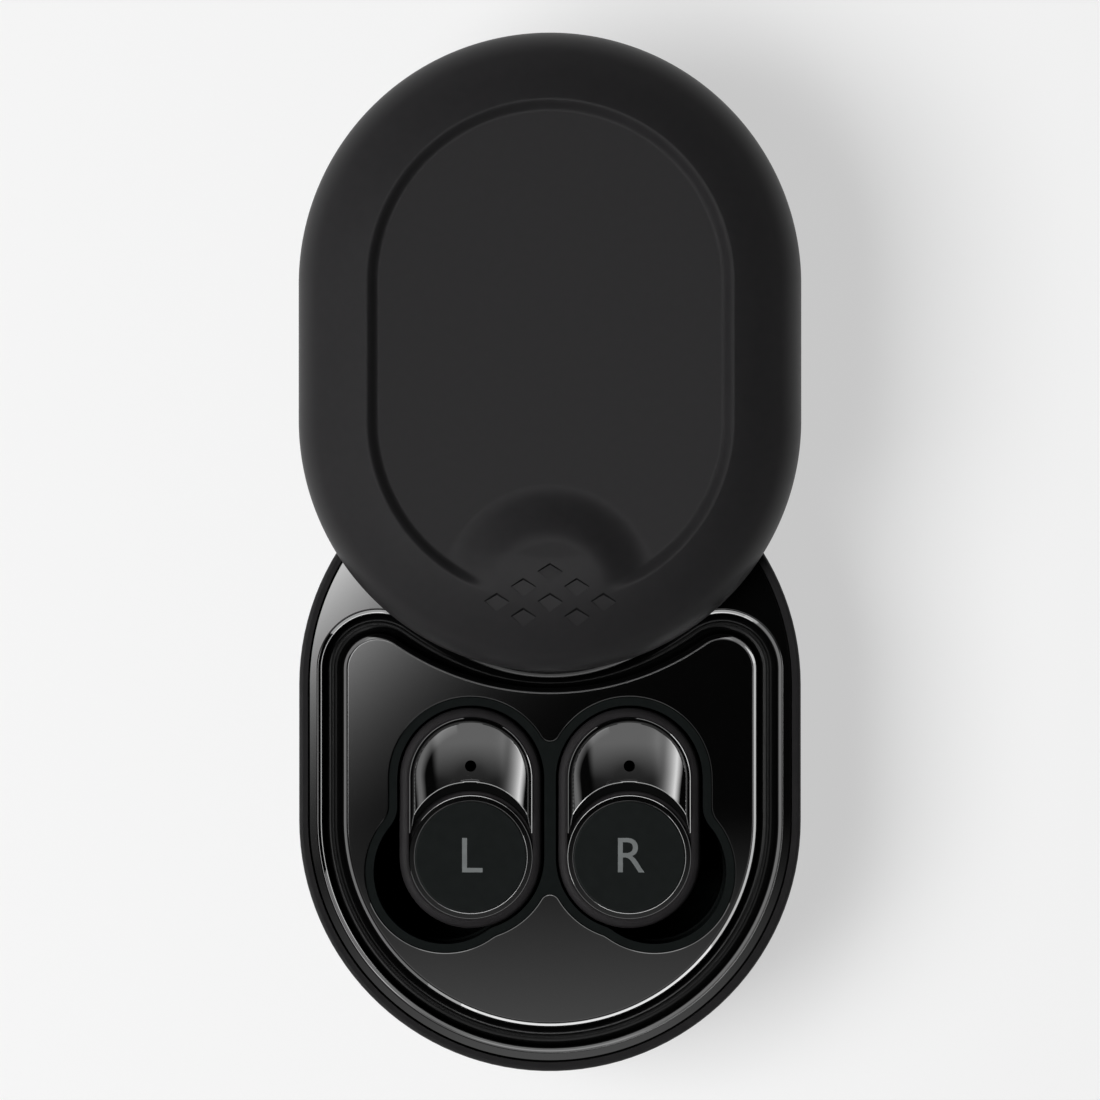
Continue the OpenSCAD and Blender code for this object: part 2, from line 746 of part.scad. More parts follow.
module slide_shoe(s) {
    color(rim_black) sided(s) translate([slide_x, slide_y, 0]) difference() {
        union() {
            stadium_plate(shoe_w / 2, shoe_run, deck_z, foot_z);
            stadium_plate(neck_w / 2, neck_run, deck_z, head_z + head_t);
            stadium_plate(shoe_w / 2, shoe_run, head_z, head_z + head_t);
        }
        for (e = [-1, 1])
            translate([0, e * shoe_screw_y, deck_z - over])
                cylinder(r = screw_r + fit / 2, h = screw_l - deck_t + over + fit);
    }
}

module shoe_screws() {
    color(steel) for (s = [-1, 1], e = [-1, 1])
        translate([s * slide_x, slide_y + e * shoe_screw_y, 0]) screw(ledge_z);
}

module catch_magnets() {
    color(steel) for (y = [catch_y, catch_y + slide_travel])
        translate([0, y, ledge_z - catch_h]) cylinder(r = catch_r, h = catch_h);
}

module battery() {
    edge = cell_edge_r;
    color(foil) translate([0, cell_y, cell_z]) linear_extrude(cell_h) {
        square([cell_w - 2 * edge, cell_l], center = true);
        square([cell_w, cell_l - 2 * edge], center = true);
        for (x = [-1, 1], y = [-1, 1])
            translate([x * (cell_w / 2 - edge), y * (cell_l / 2 - edge)]) circle(edge);
    }
}

module main_board() {
    board_r = case_r - wall - board_gap;
    color(board_green) translate([0, 0, board_z]) linear_extrude(board_t) difference() {
        intersection() {
            stadium(board_r, run);
            translate([-case_r, board_front]) square([case_w, back_y - board_front]);
        }
        at_posts() circle(screw_r + fit);
    }
}

module board_screws() {
    color(steel) at_posts() translate([0, 0, 2 * board_top]) mirror([0, 0, 1]) screw(board_top);
}

// Prism with the round-sided section of the charging socket, from y = 0 to y = length
module socket_prism(w, h, length) {
    translate([0, length, port_z]) rotate([90, 0, 0]) linear_extrude(length) rotate(90)
        stadium(h / 2, (w - h) / 2);
}

module usb_socket() {
    mouth_y = back_y - socket_sink;
    color(steel) translate([0, mouth_y - socket_l, 0]) {
        difference() {
            socket_prism(socket_w, socket_h, socket_l);
            translate([0, socket_back, 0])
                socket_prism(socket_w - 2 * socket_t, socket_h - 2 * socket_t, socket_l);
        }
        translate([-tongue_w / 2, socket_back / 2, port_z - tongue_t / 2])
            cube([tongue_w, socket_l - socket_back, tongue_t]);
    }
}

module charging_coil() {
    color(gold) translate([0, coil_y, wall]) difference() {
        cylinder(r = coil_r, h = coil_t);
        translate([0, 0, -over]) cylinder(r = coil_hole_r, h = coil_t + 2 * over);
    }
}

module coil_shield() {
    color(ferrite) translate([0, coil_y, shield_z]) cylinder(r = coil_r + fit, h = shield_t);
}

module charge_board() {
    half_w = bud_x + stud_x + screw_head_r;
    half_d = 2 * screw_head_r;
    color(board_green) translate([0, 0, pin_board_z]) linear_extrude(board_t) difference() {
        translate([-half_w, pin_y - half_d / 2]) square([2 * half_w, 2 * half_d]);
        for (s = [-1, 1]) sided(s) {
            at_pins() circle(barrel_r + fit / 2);
            at_studs() circle(screw_r + fit);
        }
    }
}

module charge_board_screws() {
    color(steel) for (s = [-1, 1]) sided(s) at_studs() screw(pin_board_z);
}

module pin_barrels() {
    color(gold) for (s = [-1, 1]) sided(s) at_pins() difference() {
        translate([0, 0, pin_board_z]) cylinder(r = barrel_r, h = barrel_l);
        translate([0, 0, pin_board_z + barrel_t]) cylinder(r = pin_r + fit, h = barrel_l);
    }
}

module charging_pins(s) {
    pin_low = pin_board_z + barrel_t + pin_travel + fit;
    color(gold) sided(s) at_pins() rotate_extrude()
        half_section(pin_r, pin_low, pin_top, 0, pin_r / 2);
}

// Bar magnets that face each other through the floor of a well
module bar_magnet(z) {
    translate([bud_x - magnet_l / 2, stem_y + magnet_w, z]) cube([magnet_l, magnet_w, magnet_h]);
}

module well_magnets() {
    color(steel) for (s = [-1, 1]) sided(s) bar_magnet(seat_floor - magnet_h);
}

module pairing_switch() {
    size = [switch_w, switch_d, socket_h];
    front = button_back - button_travel - fit;
    color(steel) at_back(side_angle) translate([-size.x / 2, front - size.y, board_top]) cube(size);
}

module status_lamp() {
    size = [lamp_w, lamp_d, socket_h / 2 + light_r];
    color([0.95, 0.95, 0.9]) at_back(-side_angle)
        translate([-size.x / 2, light_back - size.y - fit, board_top]) cube(size);
}

module light_pipe() {
    color([0.9, 0.92, 0.95]) at_back(-side_angle) rod_y(light_r, light_back, case_r, port_z);
}

module pairing_button() {
    color(rim_black) at_back(side_angle) {
        rod_y(button_r, button_back, case_r + button_out, port_z);
        rod_y(button_r + button_flange_w, button_back, button_back + button_flange_t, port_z);
    }
}

// Lid, drawn where it stands when it is open

module at_lid() {
    translate([0, slide_travel, 0]) children();
}

// Height of the lid's dome at a place on the lid
function dome_centre() = crown_centre(case_r, lid_side_z, lid_top, lid_shoulder_r, lid_ring_r);
function dome_lean(y) = asin(max(0, abs(y) - run - dome_centre().x) / lid_ring_r);
function dome_z(y) = dome_centre().y + lid_ring_r * cos(dome_lean(y));

// Section of the recess: round foot, upright wall and a round upper edge that meets the dome
module recess_section() {
    mid = dome_centre();
    edge_x = recess_r + recess_lip_r;
    edge_z = mid.y + sqrt(pow(lid_ring_r - recess_lip_r, 2) - pow(edge_x - mid.x, 2));
    edge = [edge_x, edge_z];
    far = mid + (edge - mid) * (lid_ring_r + over) / norm(edge - mid);
    difference() {
        translate([0, recess_z]) square([recess_r, recess_depth + over]);
        translate([recess_r - recess_foot_r, recess_z]) square(recess_foot_r);
    }
    translate([recess_r - recess_foot_r, recess_z + recess_foot_r]) circle(recess_foot_r);
    difference() {
        polygon([[recess_r - over, edge_z], edge, far, [recess_r - over, far.y]]);
        translate(edge) circle(recess_lip_r);
    }
}

// Half section of the thumb pad, which rolls over its edge and runs out into the recess floor
module pad_section() {
    half = pad_flare / 2;
    mid_z = recess_z + recess_depth / 2;
    translate([0, recess_z - over]) square([pad_in, recess_depth + 2 * over]);
    intersection() {
        translate([pad_in - over, recess_z - over]) square([over + half, recess_depth + 2 * over]);
        translate([pad_in, lid_top - pad_slope_r]) circle(pad_slope_r + seam);
    }
    translate([pad_in - over, recess_z - over]) square([over + half, over + recess_depth / 2]);
    difference() {
        translate([pad_in, recess_z - over]) square([pad_flare, mid_z - recess_z + over]);
        translate([pad_in + pad_flare, recess_z + pad_slope_r]) circle(pad_slope_r + seam);
    }
}

// Outline of a chevron's dent, with its tip at the origin: steep upper edges and a floor that runs out
module chevron() {
    polygon([
        [0, 0], [chevron_half_w, -chevron_h], [0, -chevron_h - chevron_ramp], [-chevron_half_w, -chevron_h]
    ]);
}

module lid_shell() {
    color(soft_black) at_lid() difference() {
        stadium_sweep(run) difference() {
            crown_section(case_r, lid_z, lid_side_z, lid_top, lid_shoulder_r, lid_ring_r);
            intersection() {
                crown_section(case_r - wall, lid_z - over, lid_side_z, lid_top - wall,
                    lid_shoulder_r - wall, lid_ring_r - wall);
                translate([0, lid_z - over]) square([case_r, recess_z - wall - lid_z + over]);
            }
        }
        difference() {
            stadium_sweep(run) recess_section();
            translate([0, pad_y, 0]) rotate_extrude() pad_section();
        }
        for (row = [0 : len(chevron_rows) - 1], i = [0 : chevron_rows[row] - 1]) {
            x = (i - (chevron_rows[row] - 1) / 2) * chevron_gap;
            y = pad_y + chevron_set - row * chevron_pitch;
            low_y = y - chevron_h - chevron_ramp;
            translate([x, low_y, dome_z(low_y) + fit / 2])
                rotate([dome_lean((y + low_y) / 2) - chevron_lean, 0, 0])
                    translate([0, y - low_y, 0]) linear_extrude(over) chevron();
        }
    }
}

// Places its children at the right rail
module at_rail(s) {
    at_lid() sided(s) translate([slide_x, 0, 0]) children();
}

// Places its children at the two screw tabs on a rail's inner side
module at_tabs() {
    for (e = [-1, 1])
        translate([-tab_x, e * tab_y, 0]) children();
}

module lid_liner() {
    color(rim_black) difference() {
        at_lid() stadium_plate(liner_r, run, lid_z, rail_z);
        for (s = [-1, 1]) at_rail(s) {
            stadium_plate(slot_r, slot_run, lid_z - over, rail_z + over);
            at_tabs() translate([0, 0, lid_z + screw_floor]) cylinder(r = screw_r + fit / 2, h = liner_t);
        }
    }
}

module slide_rail(s) {
    rail_top = head_z + head_t;
    color(steel) at_rail(s) difference() {
        union() {
            stadium_plate(rail_in_r + rail_t, rail_run, rail_z, rail_top);
            at_tabs() translate([0, 0, rail_z]) linear_extrude(rail_t) {
                circle(ear_r);
                translate([0, -ear_r]) square([tab_x - rail_in_r, 2 * ear_r]);
            }
        }
        stadium_plate(rail_in_r, rail_run, rail_z + rail_t, rail_top + over);
        stadium_plate(slot_r, slot_run, rail_z - over, rail_top);
        at_tabs() translate([0, 0, rail_z - over]) cylinder(r = screw_r + fit, h = rail_t + 2 * over);
    }
}

module rail_screws() {
    shank = rail_t + liner_t - screw_floor - fit;
    color(steel) for (s = [-1, 1]) at_rail(s) at_tabs() translate([0, 0, rail_z + rail_t]) {
        cylinder(r = screw_head_r, h = screw_head_h);
        translate([0, 0, -shank]) cylinder(r = screw_r, h = shank);
    }
}

module lid_magnet() {
    color(steel) at_lid() translate([0, catch_y, rail_z]) cylinder(r = catch_r, h = catch_h);
}

// Earbuds, drawn for the right side and mirrored for the left

module at_bud(s) {
    sided(s) translate([bud_x, bud_y, 0]) children();
}

// Places its children along the earbud, with the middle of its outline at the origin
module along_bud() {
    translate([0, bud_run / 2, 0]) children();
}

// Places its children on the nozzle's axis, with +Z from the root towards the ear
module at_nozzle() {
    rotate([0, 0, nozzle_turn]) translate([nozzle_root, 0, boss_z])
        rotate([0, 180 - nozzle_lean, 0]) children();
}

module bud_housing(s) {
    color(soft_black) at_bud(s) difference() {
        along_bud() stadium_sweep(bud_run / 2) difference() {
            half_section(bud_r, split_z, bud_z, 0, bud_shoulder_r);
            translate([0, face_z]) square([seat_r, face_depth + over]);
            translate([0, split_z - over]) square([inner_r, face_z - bud_wall - split_z + over]);
        }
        translate([0, mic_set, split_z]) cylinder(r = mic_hole_r, h = bud_h);
    }
}

module stem_cap(s) {
    lean = cap_lean / cap_rise;
    color(gloss_black) at_bud(s) difference() {
        along_bud() stadium_sweep(bud_run / 2)
            crown_section(seat_r - face_fit, face_z, bud_z, cap_z, cap_edge_r, cap_crown_r);
        translate([0, 0, face_z - over]) cylinder(r = seat_r, h = face_depth + over);
        translate([0, 0, bud_z])
            cylinder(r1 = seat_r, r2 = seat_r + lean * (cap_rise + over), h = cap_rise + over);
        translate([-bud_r, -2 * bud_r, face_z - over]) cube([2 * bud_r, 2 * bud_r, bud_h]);
        translate([0, mic_set, face_z - over]) cylinder(r = mic_hole_r, h = bud_h);
    }
}

module disc_ring(s) {
    color(gloss_black) at_bud(s) translate([0, 0, face_z]) difference() {
        cylinder(r = seat_r - face_fit, h = face_depth - ring_drop);
        translate([0, 0, -over]) cylinder(r = disc_r + face_fit, h = face_depth + 2 * over);
    }
}

module touch_disc(s) {
    color(liner_black) at_bud(s) rotate_extrude() half_section(disc_r, face_z, bud_z, 0, disc_edge_r);
}

// Section of the boss, grown inwards by d and started a little up its axis
module boss_section(d, start) {
    half_section(boss_r - d, start, boss_l - d, 0, boss_round - d);
}

module ear_shell(s) {
    color(soft_black) at_bud(s) difference() {
        union() {
            along_bud() stadium_sweep(bud_run / 2) half_section(bud_r, belly_z, split_z, bud_belly_r, 0);
            at_nozzle() rotate_extrude() {
                boss_section(0, 0);
                square([nozzle_r, nozzle_end]);
                translate([0, nozzle_end - collar_l]) square([nozzle_r + collar_w, collar_l]);
            }
        }
        along_bud() stadium_sweep(bud_run / 2)
            half_section(inner_r, belly_z + bud_wall, split_z + over, bud_belly_r - bud_wall, 0);
        at_nozzle() rotate_extrude() boss_section(bud_wall, -boss_r * sin(nozzle_lean));
        at_nozzle() cylinder(r = sound_r, h = nozzle_end + over);
        for (x = [-1, 1])
            translate([x * pin_pitch / 2, bud_run, belly_z - over])
                cylinder(r = contact_r + fit / 2, h = bud_wall + 2 * over);
    }
}

module contacts(s) {
    color(gold) at_bud(s) for (x = [-1, 1])
        translate([x * pin_pitch / 2, bud_run, belly_z + fit]) cylinder(r = contact_r, h = bud_wall);
}

module nozzle_mesh(s) {
    color(steel) at_bud(s) at_nozzle() translate([0, 0, nozzle_end - 2 * mesh_t])
        cylinder(r = sound_r - fit / 2, h = mesh_t);
}

module ear_tip(s) {
    sleeve_in = nozzle_r + collar_w + fit;
    color(silicone) at_bud(s) at_nozzle() rotate_extrude() {
        intersection() {
            difference() {
                translate([0, tip_mid]) circle(tip_r);
                translate([0, tip_mid]) circle(tip_r - tip_skin);
            }
            translate([sound_r, tip_mid - tip_skin]) square([tip_r, tip_end - tip_mid + tip_skin]);
        }
        translate([sleeve_in, boss_l + fit]) square([tip_skin, tip_end - boss_l - fit]);
    }
}

module driver(s) {
    color(steel) at_bud(s) at_nozzle() translate([0, 0, boss_l - boss_round - driver_h])
        cylinder(r = boss_r - bud_wall - fit, h = driver_h);
}

module bud_cell(s) {
    color(foil) at_bud(s) translate([0, 0, bud_board_z - fit - bud_cell_h])
        cylinder(r = bud_cell_r, h = bud_cell_h);
}

module bud_board(s) {
    color(board_green) at_bud(s) translate([0, 0, bud_board_z])
        cylinder(r = disc_r - bud_wall, h = board_t);
}

module microphone(s) {
    size = [mic_w, mic_d, mic_h];
    color(steel) at_bud(s)
        translate([-size.x / 2, mic_set - size.y / 2, face_z - bud_wall - size.z]) cube(size);
}

module bud_magnet(s) {
    color(steel) sided(s) bar_magnet(belly_z + bud_wall);
}

base_shell();
deck_plate();
earbud_cradle();
slide_shoe(-1);  // left_slide_shoe
slide_shoe(1);  // right_slide_shoe
shoe_screws();
catch_magnets();
battery();
main_board();
board_screws();
usb_socket();
charging_coil();
coil_shield();
charge_board();
charge_board_screws();
pin_barrels();
well_magnets();
pairing_switch();
status_lamp();
light_pipe();
pairing_button();
charging_pins(-1);  // left_charging_pins
charging_pins(1);  // right_charging_pins
lid_shell();
lid_liner();
slide_rail(-1);  // left_slide_rail
slide_rail(1);  // right_slide_rail
rail_screws();
lid_magnet();
bud_housing(-1);  // left_bud_housing
stem_cap(-1);  // left_stem_cap
touch_disc(-1);  // left_touch_disc
disc_ring(-1);  // left_disc_ring
ear_shell(-1);  // left_ear_shell
nozzle_mesh(-1);  // left_nozzle_mesh
ear_tip(-1);  // left_ear_tip
driver(-1);  // left_driver
bud_cell(-1);  // left_bud_cell
bud_board(-1);  // left_bud_board
microphone(-1);  // left_microphone
bud_magnet(-1);  // left_bud_magnet
contacts(-1);  // left_contacts
bud_housing(1);  // right_bud_housing
stem_cap(1);  // right_stem_cap
touch_disc(1);  // right_touch_disc
disc_ring(1);  // right_disc_ring
ear_shell(1);  // right_ear_shell
nozzle_mesh(1);  // right_nozzle_mesh
ear_tip(1);  // right_ear_tip
driver(1);  // right_driver
bud_cell(1);  // right_bud_cell
bud_board(1);  // right_bud_board
microphone(1);  // right_microphone
bud_magnet(1);  // right_bud_magnet
contacts(1);  // right_contacts
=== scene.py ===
import bpy, math
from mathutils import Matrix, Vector


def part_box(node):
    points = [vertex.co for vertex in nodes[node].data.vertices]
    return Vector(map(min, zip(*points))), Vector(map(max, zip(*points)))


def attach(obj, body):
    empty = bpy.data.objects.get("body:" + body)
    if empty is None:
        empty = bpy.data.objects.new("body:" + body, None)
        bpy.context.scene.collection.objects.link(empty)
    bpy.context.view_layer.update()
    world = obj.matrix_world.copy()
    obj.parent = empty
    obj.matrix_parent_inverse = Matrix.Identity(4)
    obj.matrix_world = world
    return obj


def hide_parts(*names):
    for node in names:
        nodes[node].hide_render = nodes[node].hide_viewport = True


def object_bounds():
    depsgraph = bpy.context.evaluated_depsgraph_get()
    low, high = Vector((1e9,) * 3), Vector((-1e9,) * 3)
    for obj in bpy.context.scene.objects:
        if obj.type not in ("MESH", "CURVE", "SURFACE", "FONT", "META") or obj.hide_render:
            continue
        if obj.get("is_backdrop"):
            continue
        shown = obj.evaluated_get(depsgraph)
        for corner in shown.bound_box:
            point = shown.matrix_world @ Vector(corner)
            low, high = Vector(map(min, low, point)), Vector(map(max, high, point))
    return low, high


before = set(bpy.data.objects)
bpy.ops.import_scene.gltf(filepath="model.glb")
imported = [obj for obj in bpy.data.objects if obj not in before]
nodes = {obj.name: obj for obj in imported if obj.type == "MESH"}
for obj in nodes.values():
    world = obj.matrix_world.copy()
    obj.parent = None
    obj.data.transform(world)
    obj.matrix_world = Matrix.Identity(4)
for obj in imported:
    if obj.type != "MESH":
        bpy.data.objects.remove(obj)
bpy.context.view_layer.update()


# ---- Base shell -------------------------------------------------------------------------------
# Lower half of the case: an injection-moulded shell with a soft-touch lacquer. Its rim stands a
# little above the glossy deck that is glued into it; the socket, button and light are at the back.


def plastic(name, colour, rough, spec=0.5, vary=0.08, scale=900.0):
    """A plastic whose colour and roughness waver a little from place to place."""
    mat = bpy.data.materials.new(name)
    mat.use_nodes = True
    tree = mat.node_tree
    skin = tree.nodes["Principled BSDF"]
    skin.inputs["Specular IOR Level"].default_value = spec
    place = tree.nodes.new("ShaderNodeTexCoord")
    grain = tree.nodes.new("ShaderNodeTexNoise")
    grain.inputs["Scale"].default_value = scale
    grain.inputs["Detail"].default_value = 3.0
    tree.links.new(place.outputs["Object"], grain.inputs["Vector"])
    ramp = tree.nodes.new("ShaderNodeValToRGB")
    ramp.color_ramp.elements[0].position = 0.3
    ramp.color_ramp.elements[1].position = 0.7
    ramp.color_ramp.elements[0].color = (*[c * (1 - vary) for c in colour], 1)
    ramp.color_ramp.elements[1].color = (*[c * (1 + vary) for c in colour], 1)
    tree.links.new(grain.outputs["Fac"], ramp.inputs["Fac"])
    tree.links.new(ramp.outputs["Color"], skin.inputs["Base Color"])
    span = tree.nodes.new("ShaderNodeMapRange")
    span.inputs["To Min"].default_value = rough * (1 - vary)
    span.inputs["To Max"].default_value = rough * (1 + vary)
    tree.links.new(grain.outputs["Fac"], span.inputs["Value"])
    tree.links.new(span.outputs["Result"], skin.inputs["Roughness"])
    return mat


def paint(mat, *names):
    """Gives CAD nodes a material."""
    for name in names:
        mesh = nodes[name].data
        mesh.materials.clear()
        mesh.materials.append(mat)


soft = plastic("soft_touch", (0.0165, 0.0160, 0.0165), 0.55, spec=0.3)
paint(soft, "base_shell")


# ---- Inner fittings of the base ---------------------------------------------------------------
# Battery, boards, charging coil and its ferrite shield lie under the deck, held by steel screws.
# The socket, button and light pipe sit in the rear wall; the charging pins are gold-plated.

def metal(name, colour, rough):
    """A bare or plated metal."""
    mat = plastic(name, colour, rough, vary=0.1, scale=600)
    mat.node_tree.nodes["Principled BSDF"].inputs["Metallic"].default_value = 1.0
    return mat


steel = metal("steel", (0.6, 0.6, 0.62), 0.25)
gold = metal("contact_gold", (0.83, 0.65, 0.3), 0.2)
copper = metal("coil_copper", (0.72, 0.4, 0.22), 0.3)
foil = metal("cell_foil", (0.55, 0.56, 0.58), 0.35)
board = plastic("board_green", (0.015, 0.12, 0.05), 0.35)
ferrite = plastic("ferrite", (0.05, 0.048, 0.047), 0.6)
white = plastic("lamp_white", (0.8, 0.8, 0.77), 0.3)
clear = plastic("light_clear", (0.75, 0.77, 0.8), 0.2)
dark = plastic("liner_black", (0.0085, 0.0100, 0.0100), 0.5, spec=0.25)
paint(foil, "battery")
paint(board, "main_board", "charge_board")
paint(steel, "board_screws", "charge_board_screws", "usb_socket", "pairing_switch", "well_magnets")
paint(copper, "charging_coil")
paint(ferrite, "coil_shield")
paint(gold, "pin_barrels", "left_charging_pins", "right_charging_pins")
paint(white, "status_lamp")
paint(clear, "light_pipe")
paint(dark, "pairing_button")


# ---- Deck -------------------------------------------------------------------------------------
# Polished black plate, moulded in one and glued into the base. A gutter with rolled edges runs
# round the island that carries the earbuds; the island's back edge is hollow, along the front of
# the open lid.

MM = 0.001


def fresh():
    """Leaves edit mode and deselects everything."""
    if bpy.context.object and bpy.context.object.mode != "OBJECT":
        bpy.ops.object.mode_set(mode="OBJECT")
    bpy.ops.object.select_all(action="DESELECT")


def trace(name, points):
    """Draws a run of edges through points in millimetres and stays in edit mode, all selected."""
    fresh()
    bpy.ops.mesh.primitive_plane_add()
    piece = bpy.context.object
    piece.name = piece.data.name = name
    bpy.ops.object.mode_set(mode="EDIT")
    bpy.ops.mesh.select_all(action="SELECT")
    bpy.ops.mesh.merge(type="CENTER")
    at = [Vector(p) * MM for p in points]
    bpy.ops.transform.translate(value=at[0])
    for a, b in zip(at, at[1:]):
        bpy.ops.mesh.extrude_vertices_move(TRANSFORM_OT_translate={"value": b - a})
    bpy.ops.mesh.select_all(action="SELECT")
    return piece


def pick(piece, test):
    """In edit mode, selects the vertices that pass a test of their place in millimetres."""
    bpy.ops.mesh.select_mode(type="VERT")
    bpy.ops.mesh.select_all(action="DESELECT")
    bpy.ops.object.mode_set(mode="OBJECT")
    for v in piece.data.vertices:
        v.select = bool(test(v.co / MM))
    bpy.ops.object.mode_set(mode="EDIT")
    bpy.ops.mesh.select_mode(type="VERT")


def extend(x, y, z):
    """Draws the selected edges out by a step in millimetres."""
    step = (x * MM, y * MM, z * MM)
    bpy.ops.mesh.extrude_region_move(TRANSFORM_OT_translate={"value": step})


def turn(middle, degrees, steps):
    """Sweeps the selected edges round an upright axis, anticlockwise from above."""
    bpy.ops.mesh.spin(steps=steps, angle=-math.radians(degrees),
                      center=Vector((*middle, 0)) * MM, axis=(0, 0, 1))


def weld():
    """In edit mode, selects everything and merges doubled points."""
    bpy.ops.mesh.select_all(action="SELECT")
    bpy.ops.mesh.remove_doubles(threshold=0.000002)


def close_up(piece, smooth):
    """Welds, turns the faces outwards, leaves edit mode and smooths edges up to an angle."""
    bpy.ops.object.mode_set(mode="EDIT")
    weld()
    bpy.ops.mesh.normals_make_consistent(inside=False)
    bpy.ops.object.mode_set(mode="OBJECT")
    if smooth:
        bpy.ops.object.shade_smooth_by_angle(angle=math.radians(smooth), keep_sharp_edges=True)


def join(piece, *others):
    """Makes several meshes one and stays in edit mode."""
    fresh()
    for other in others:
        other.select_set(True)
    piece.select_set(True)
    bpy.context.view_layer.objects.active = piece
    bpy.ops.object.join()
    bpy.ops.object.mode_set(mode="EDIT")


def arc(middle, radius, a, b, steps):
    """Points of a circle from angle a to angle b in degrees."""
    angles = [math.radians(a + (b - a) * i / steps) for i in range(steps + 1)]
    return [(middle[0] + radius * math.cos(t), middle[1] + radius * math.sin(t)) for t in angles]


# Gutter: its section, rolled over at the lips and rounded at the foot, swept round the island.
# The lip bends down through the angles in bend, by the lengths in reach.
run, deck_z, gutter_z, plate_t = 8.35, 21.0, 18.8, 1.5
island_r, gutter_w, foot_r = 25.52, 2.35, 1.1
hollow_y, hollow_r, corner_r = 40.65, 32.75, 4.35
corner_x = island_r - corner_r
corner_y = hollow_y - math.sqrt((hollow_r + corner_r) ** 2 - corner_x ** 2)
corner_turn = math.degrees(math.atan2(hollow_y - corner_y, -corner_x))
hollow_half = math.degrees(math.atan2(corner_x, hollow_y - corner_y))
bend = [0, 0.5, 1.5, 4, 9, 14, 18, 20, 22, 24, 26, 28, 30, 32, 37, 45, 55, 65, 75, 85, 90]
reach = [0.02, 0.03, 0.04, 0.04, 0.035, 0.035, 0.06, 0.06, 0.06, 0.06,
         0.06, 0.06, 0.06, 0.05, 0.05, 0.06, 0.07, 0.08, 0.1, 0.1]
half = [(0.0, deck_z)]
for a, b, step in zip(bend, bend[1:], reach):
    lean = math.radians((a + b) / 2)
    half.append((half[-1][0] + step * math.cos(lean), half[-1][1] - step * math.sin(lean)))
half = [(d - half[-1][0], z) for d, z in half]
half += arc((foot_r, gutter_z + foot_r), foot_r, 180, 270, 12)
section = half + [(gutter_w - d, z) for d, z in reversed(half)]
deck = trace("deck", [(-island_r - d, -run, z) for d, z in section])
turn((0, -run), 180, 120)
extend(0, corner_y + run, 0)
turn((corner_x, corner_y), corner_turn, 40)
turn((0, hollow_y), -2 * hollow_half, 80)
turn((-corner_x, corner_y), corner_turn, 40)
extend(0, -(corner_y + run), 0)
weld()


def island_d(p):
    """Distance of a point outside the island's outline."""
    x = abs(p.x)
    if p.y < -run:
        return math.hypot(x, p.y + run) - island_r
    if x > corner_x and p.y < corner_y:
        return x - island_r
    if math.degrees(math.atan2(x, hollow_y - p.y)) < hollow_half:
        return hollow_r - math.hypot(x, p.y - hollow_y)
    return math.hypot(x - corner_x, p.y - corner_y) - corner_r


# Along the hollow the gutter narrows towards the middle
narrow = 0.53
bpy.ops.object.mode_set(mode="OBJECT")
for v in deck.data.vertices:
    p = v.co / MM
    d = island_d(p)
    lean = math.degrees(math.atan2(abs(p.x), hollow_y - p.y)) / hollow_half
    in_hollow = p.y > corner_y - corner_r and math.hypot(p.x, p.y - hollow_y) < hollow_r
    if lean < 1 and d > 0 and in_hollow:
        d -= min(d, gutter_w) * narrow * (1 - lean * lean) ** 2
        away = Vector((p.x, p.y - hollow_y)).normalized() * (hollow_r - d)
        v.co.x, v.co.y = away.x * MM, (away.y + hollow_y) * MM
bpy.ops.object.mode_set(mode="EDIT")

# Opening for the cradle: two wells with finger scoops, and a notch at each end
well_r, lip_w, bud_x, stem_y, bud_y = 9.03, 1.0, 9.73, -3.31, -12.91
scoop_x, scoop_y, scoop_r, blend, notch_r = 12.83, -14.74, 8.84, 4.0, 1.3
rise = math.sqrt((well_r + lip_w + notch_r) ** 2 - bud_x ** 2)
side_x = bud_x + well_r + blend
side_y = scoop_y + math.sqrt((scoop_r + blend) ** 2 - (side_x - scoop_x) ** 2)
gap = math.hypot(scoop_x - bud_x, scoop_y - bud_y)
ux, uy = (scoop_x - bud_x) / gap, (scoop_y - bud_y) / gap
along = ((well_r + blend) ** 2 - (scoop_r + blend) ** 2 + gap ** 2) / (2 * gap)
across = math.sqrt((well_r + blend) ** 2 - along ** 2)
front = (bud_x + along * ux + across * uy, bud_y + along * uy - across * ux)


def bearing(a, b):
    """Direction from a to b in degrees."""
    return math.degrees(math.atan2(b[1] - a[1], b[0] - a[0]))


def cradle_edge(d):
    """Points round the cradle's lip, grown outwards by d, clockwise from the notch at the back."""
    stem, disc, scoop, side = (bud_x, stem_y), (bud_x, bud_y), (scoop_x, scoop_y), (side_x, side_y)
    back, fore = (0, stem_y + rise), (0, bud_y - rise)
    r, h = well_r + lip_w + d, lip_w + d
    right = arc(back, notch_r - d, -90, bearing(back, stem), 8)
    right += arc(stem, r, bearing(stem, back), 0, 36)
    right += arc(side, blend - h, 180, bearing(side, scoop) + 360, 14)
    right += arc(scoop, scoop_r + h, bearing(scoop, side), bearing(scoop, front), 48)
    right += arc(front, blend - h, bearing(front, scoop), bearing(front, disc), 6)
    right += arc(disc, r, bearing(disc, front), bearing(disc, fore), 16)
    right += arc(fore, notch_r - d, bearing(fore, disc), 90, 8)
    whole = right + [(-x, y) for x, y in reversed(right[1:-1])]
    return [p for p, q in zip(whole, whole[1:] + whole[:1]) if math.dist(p, q) > 0.01]


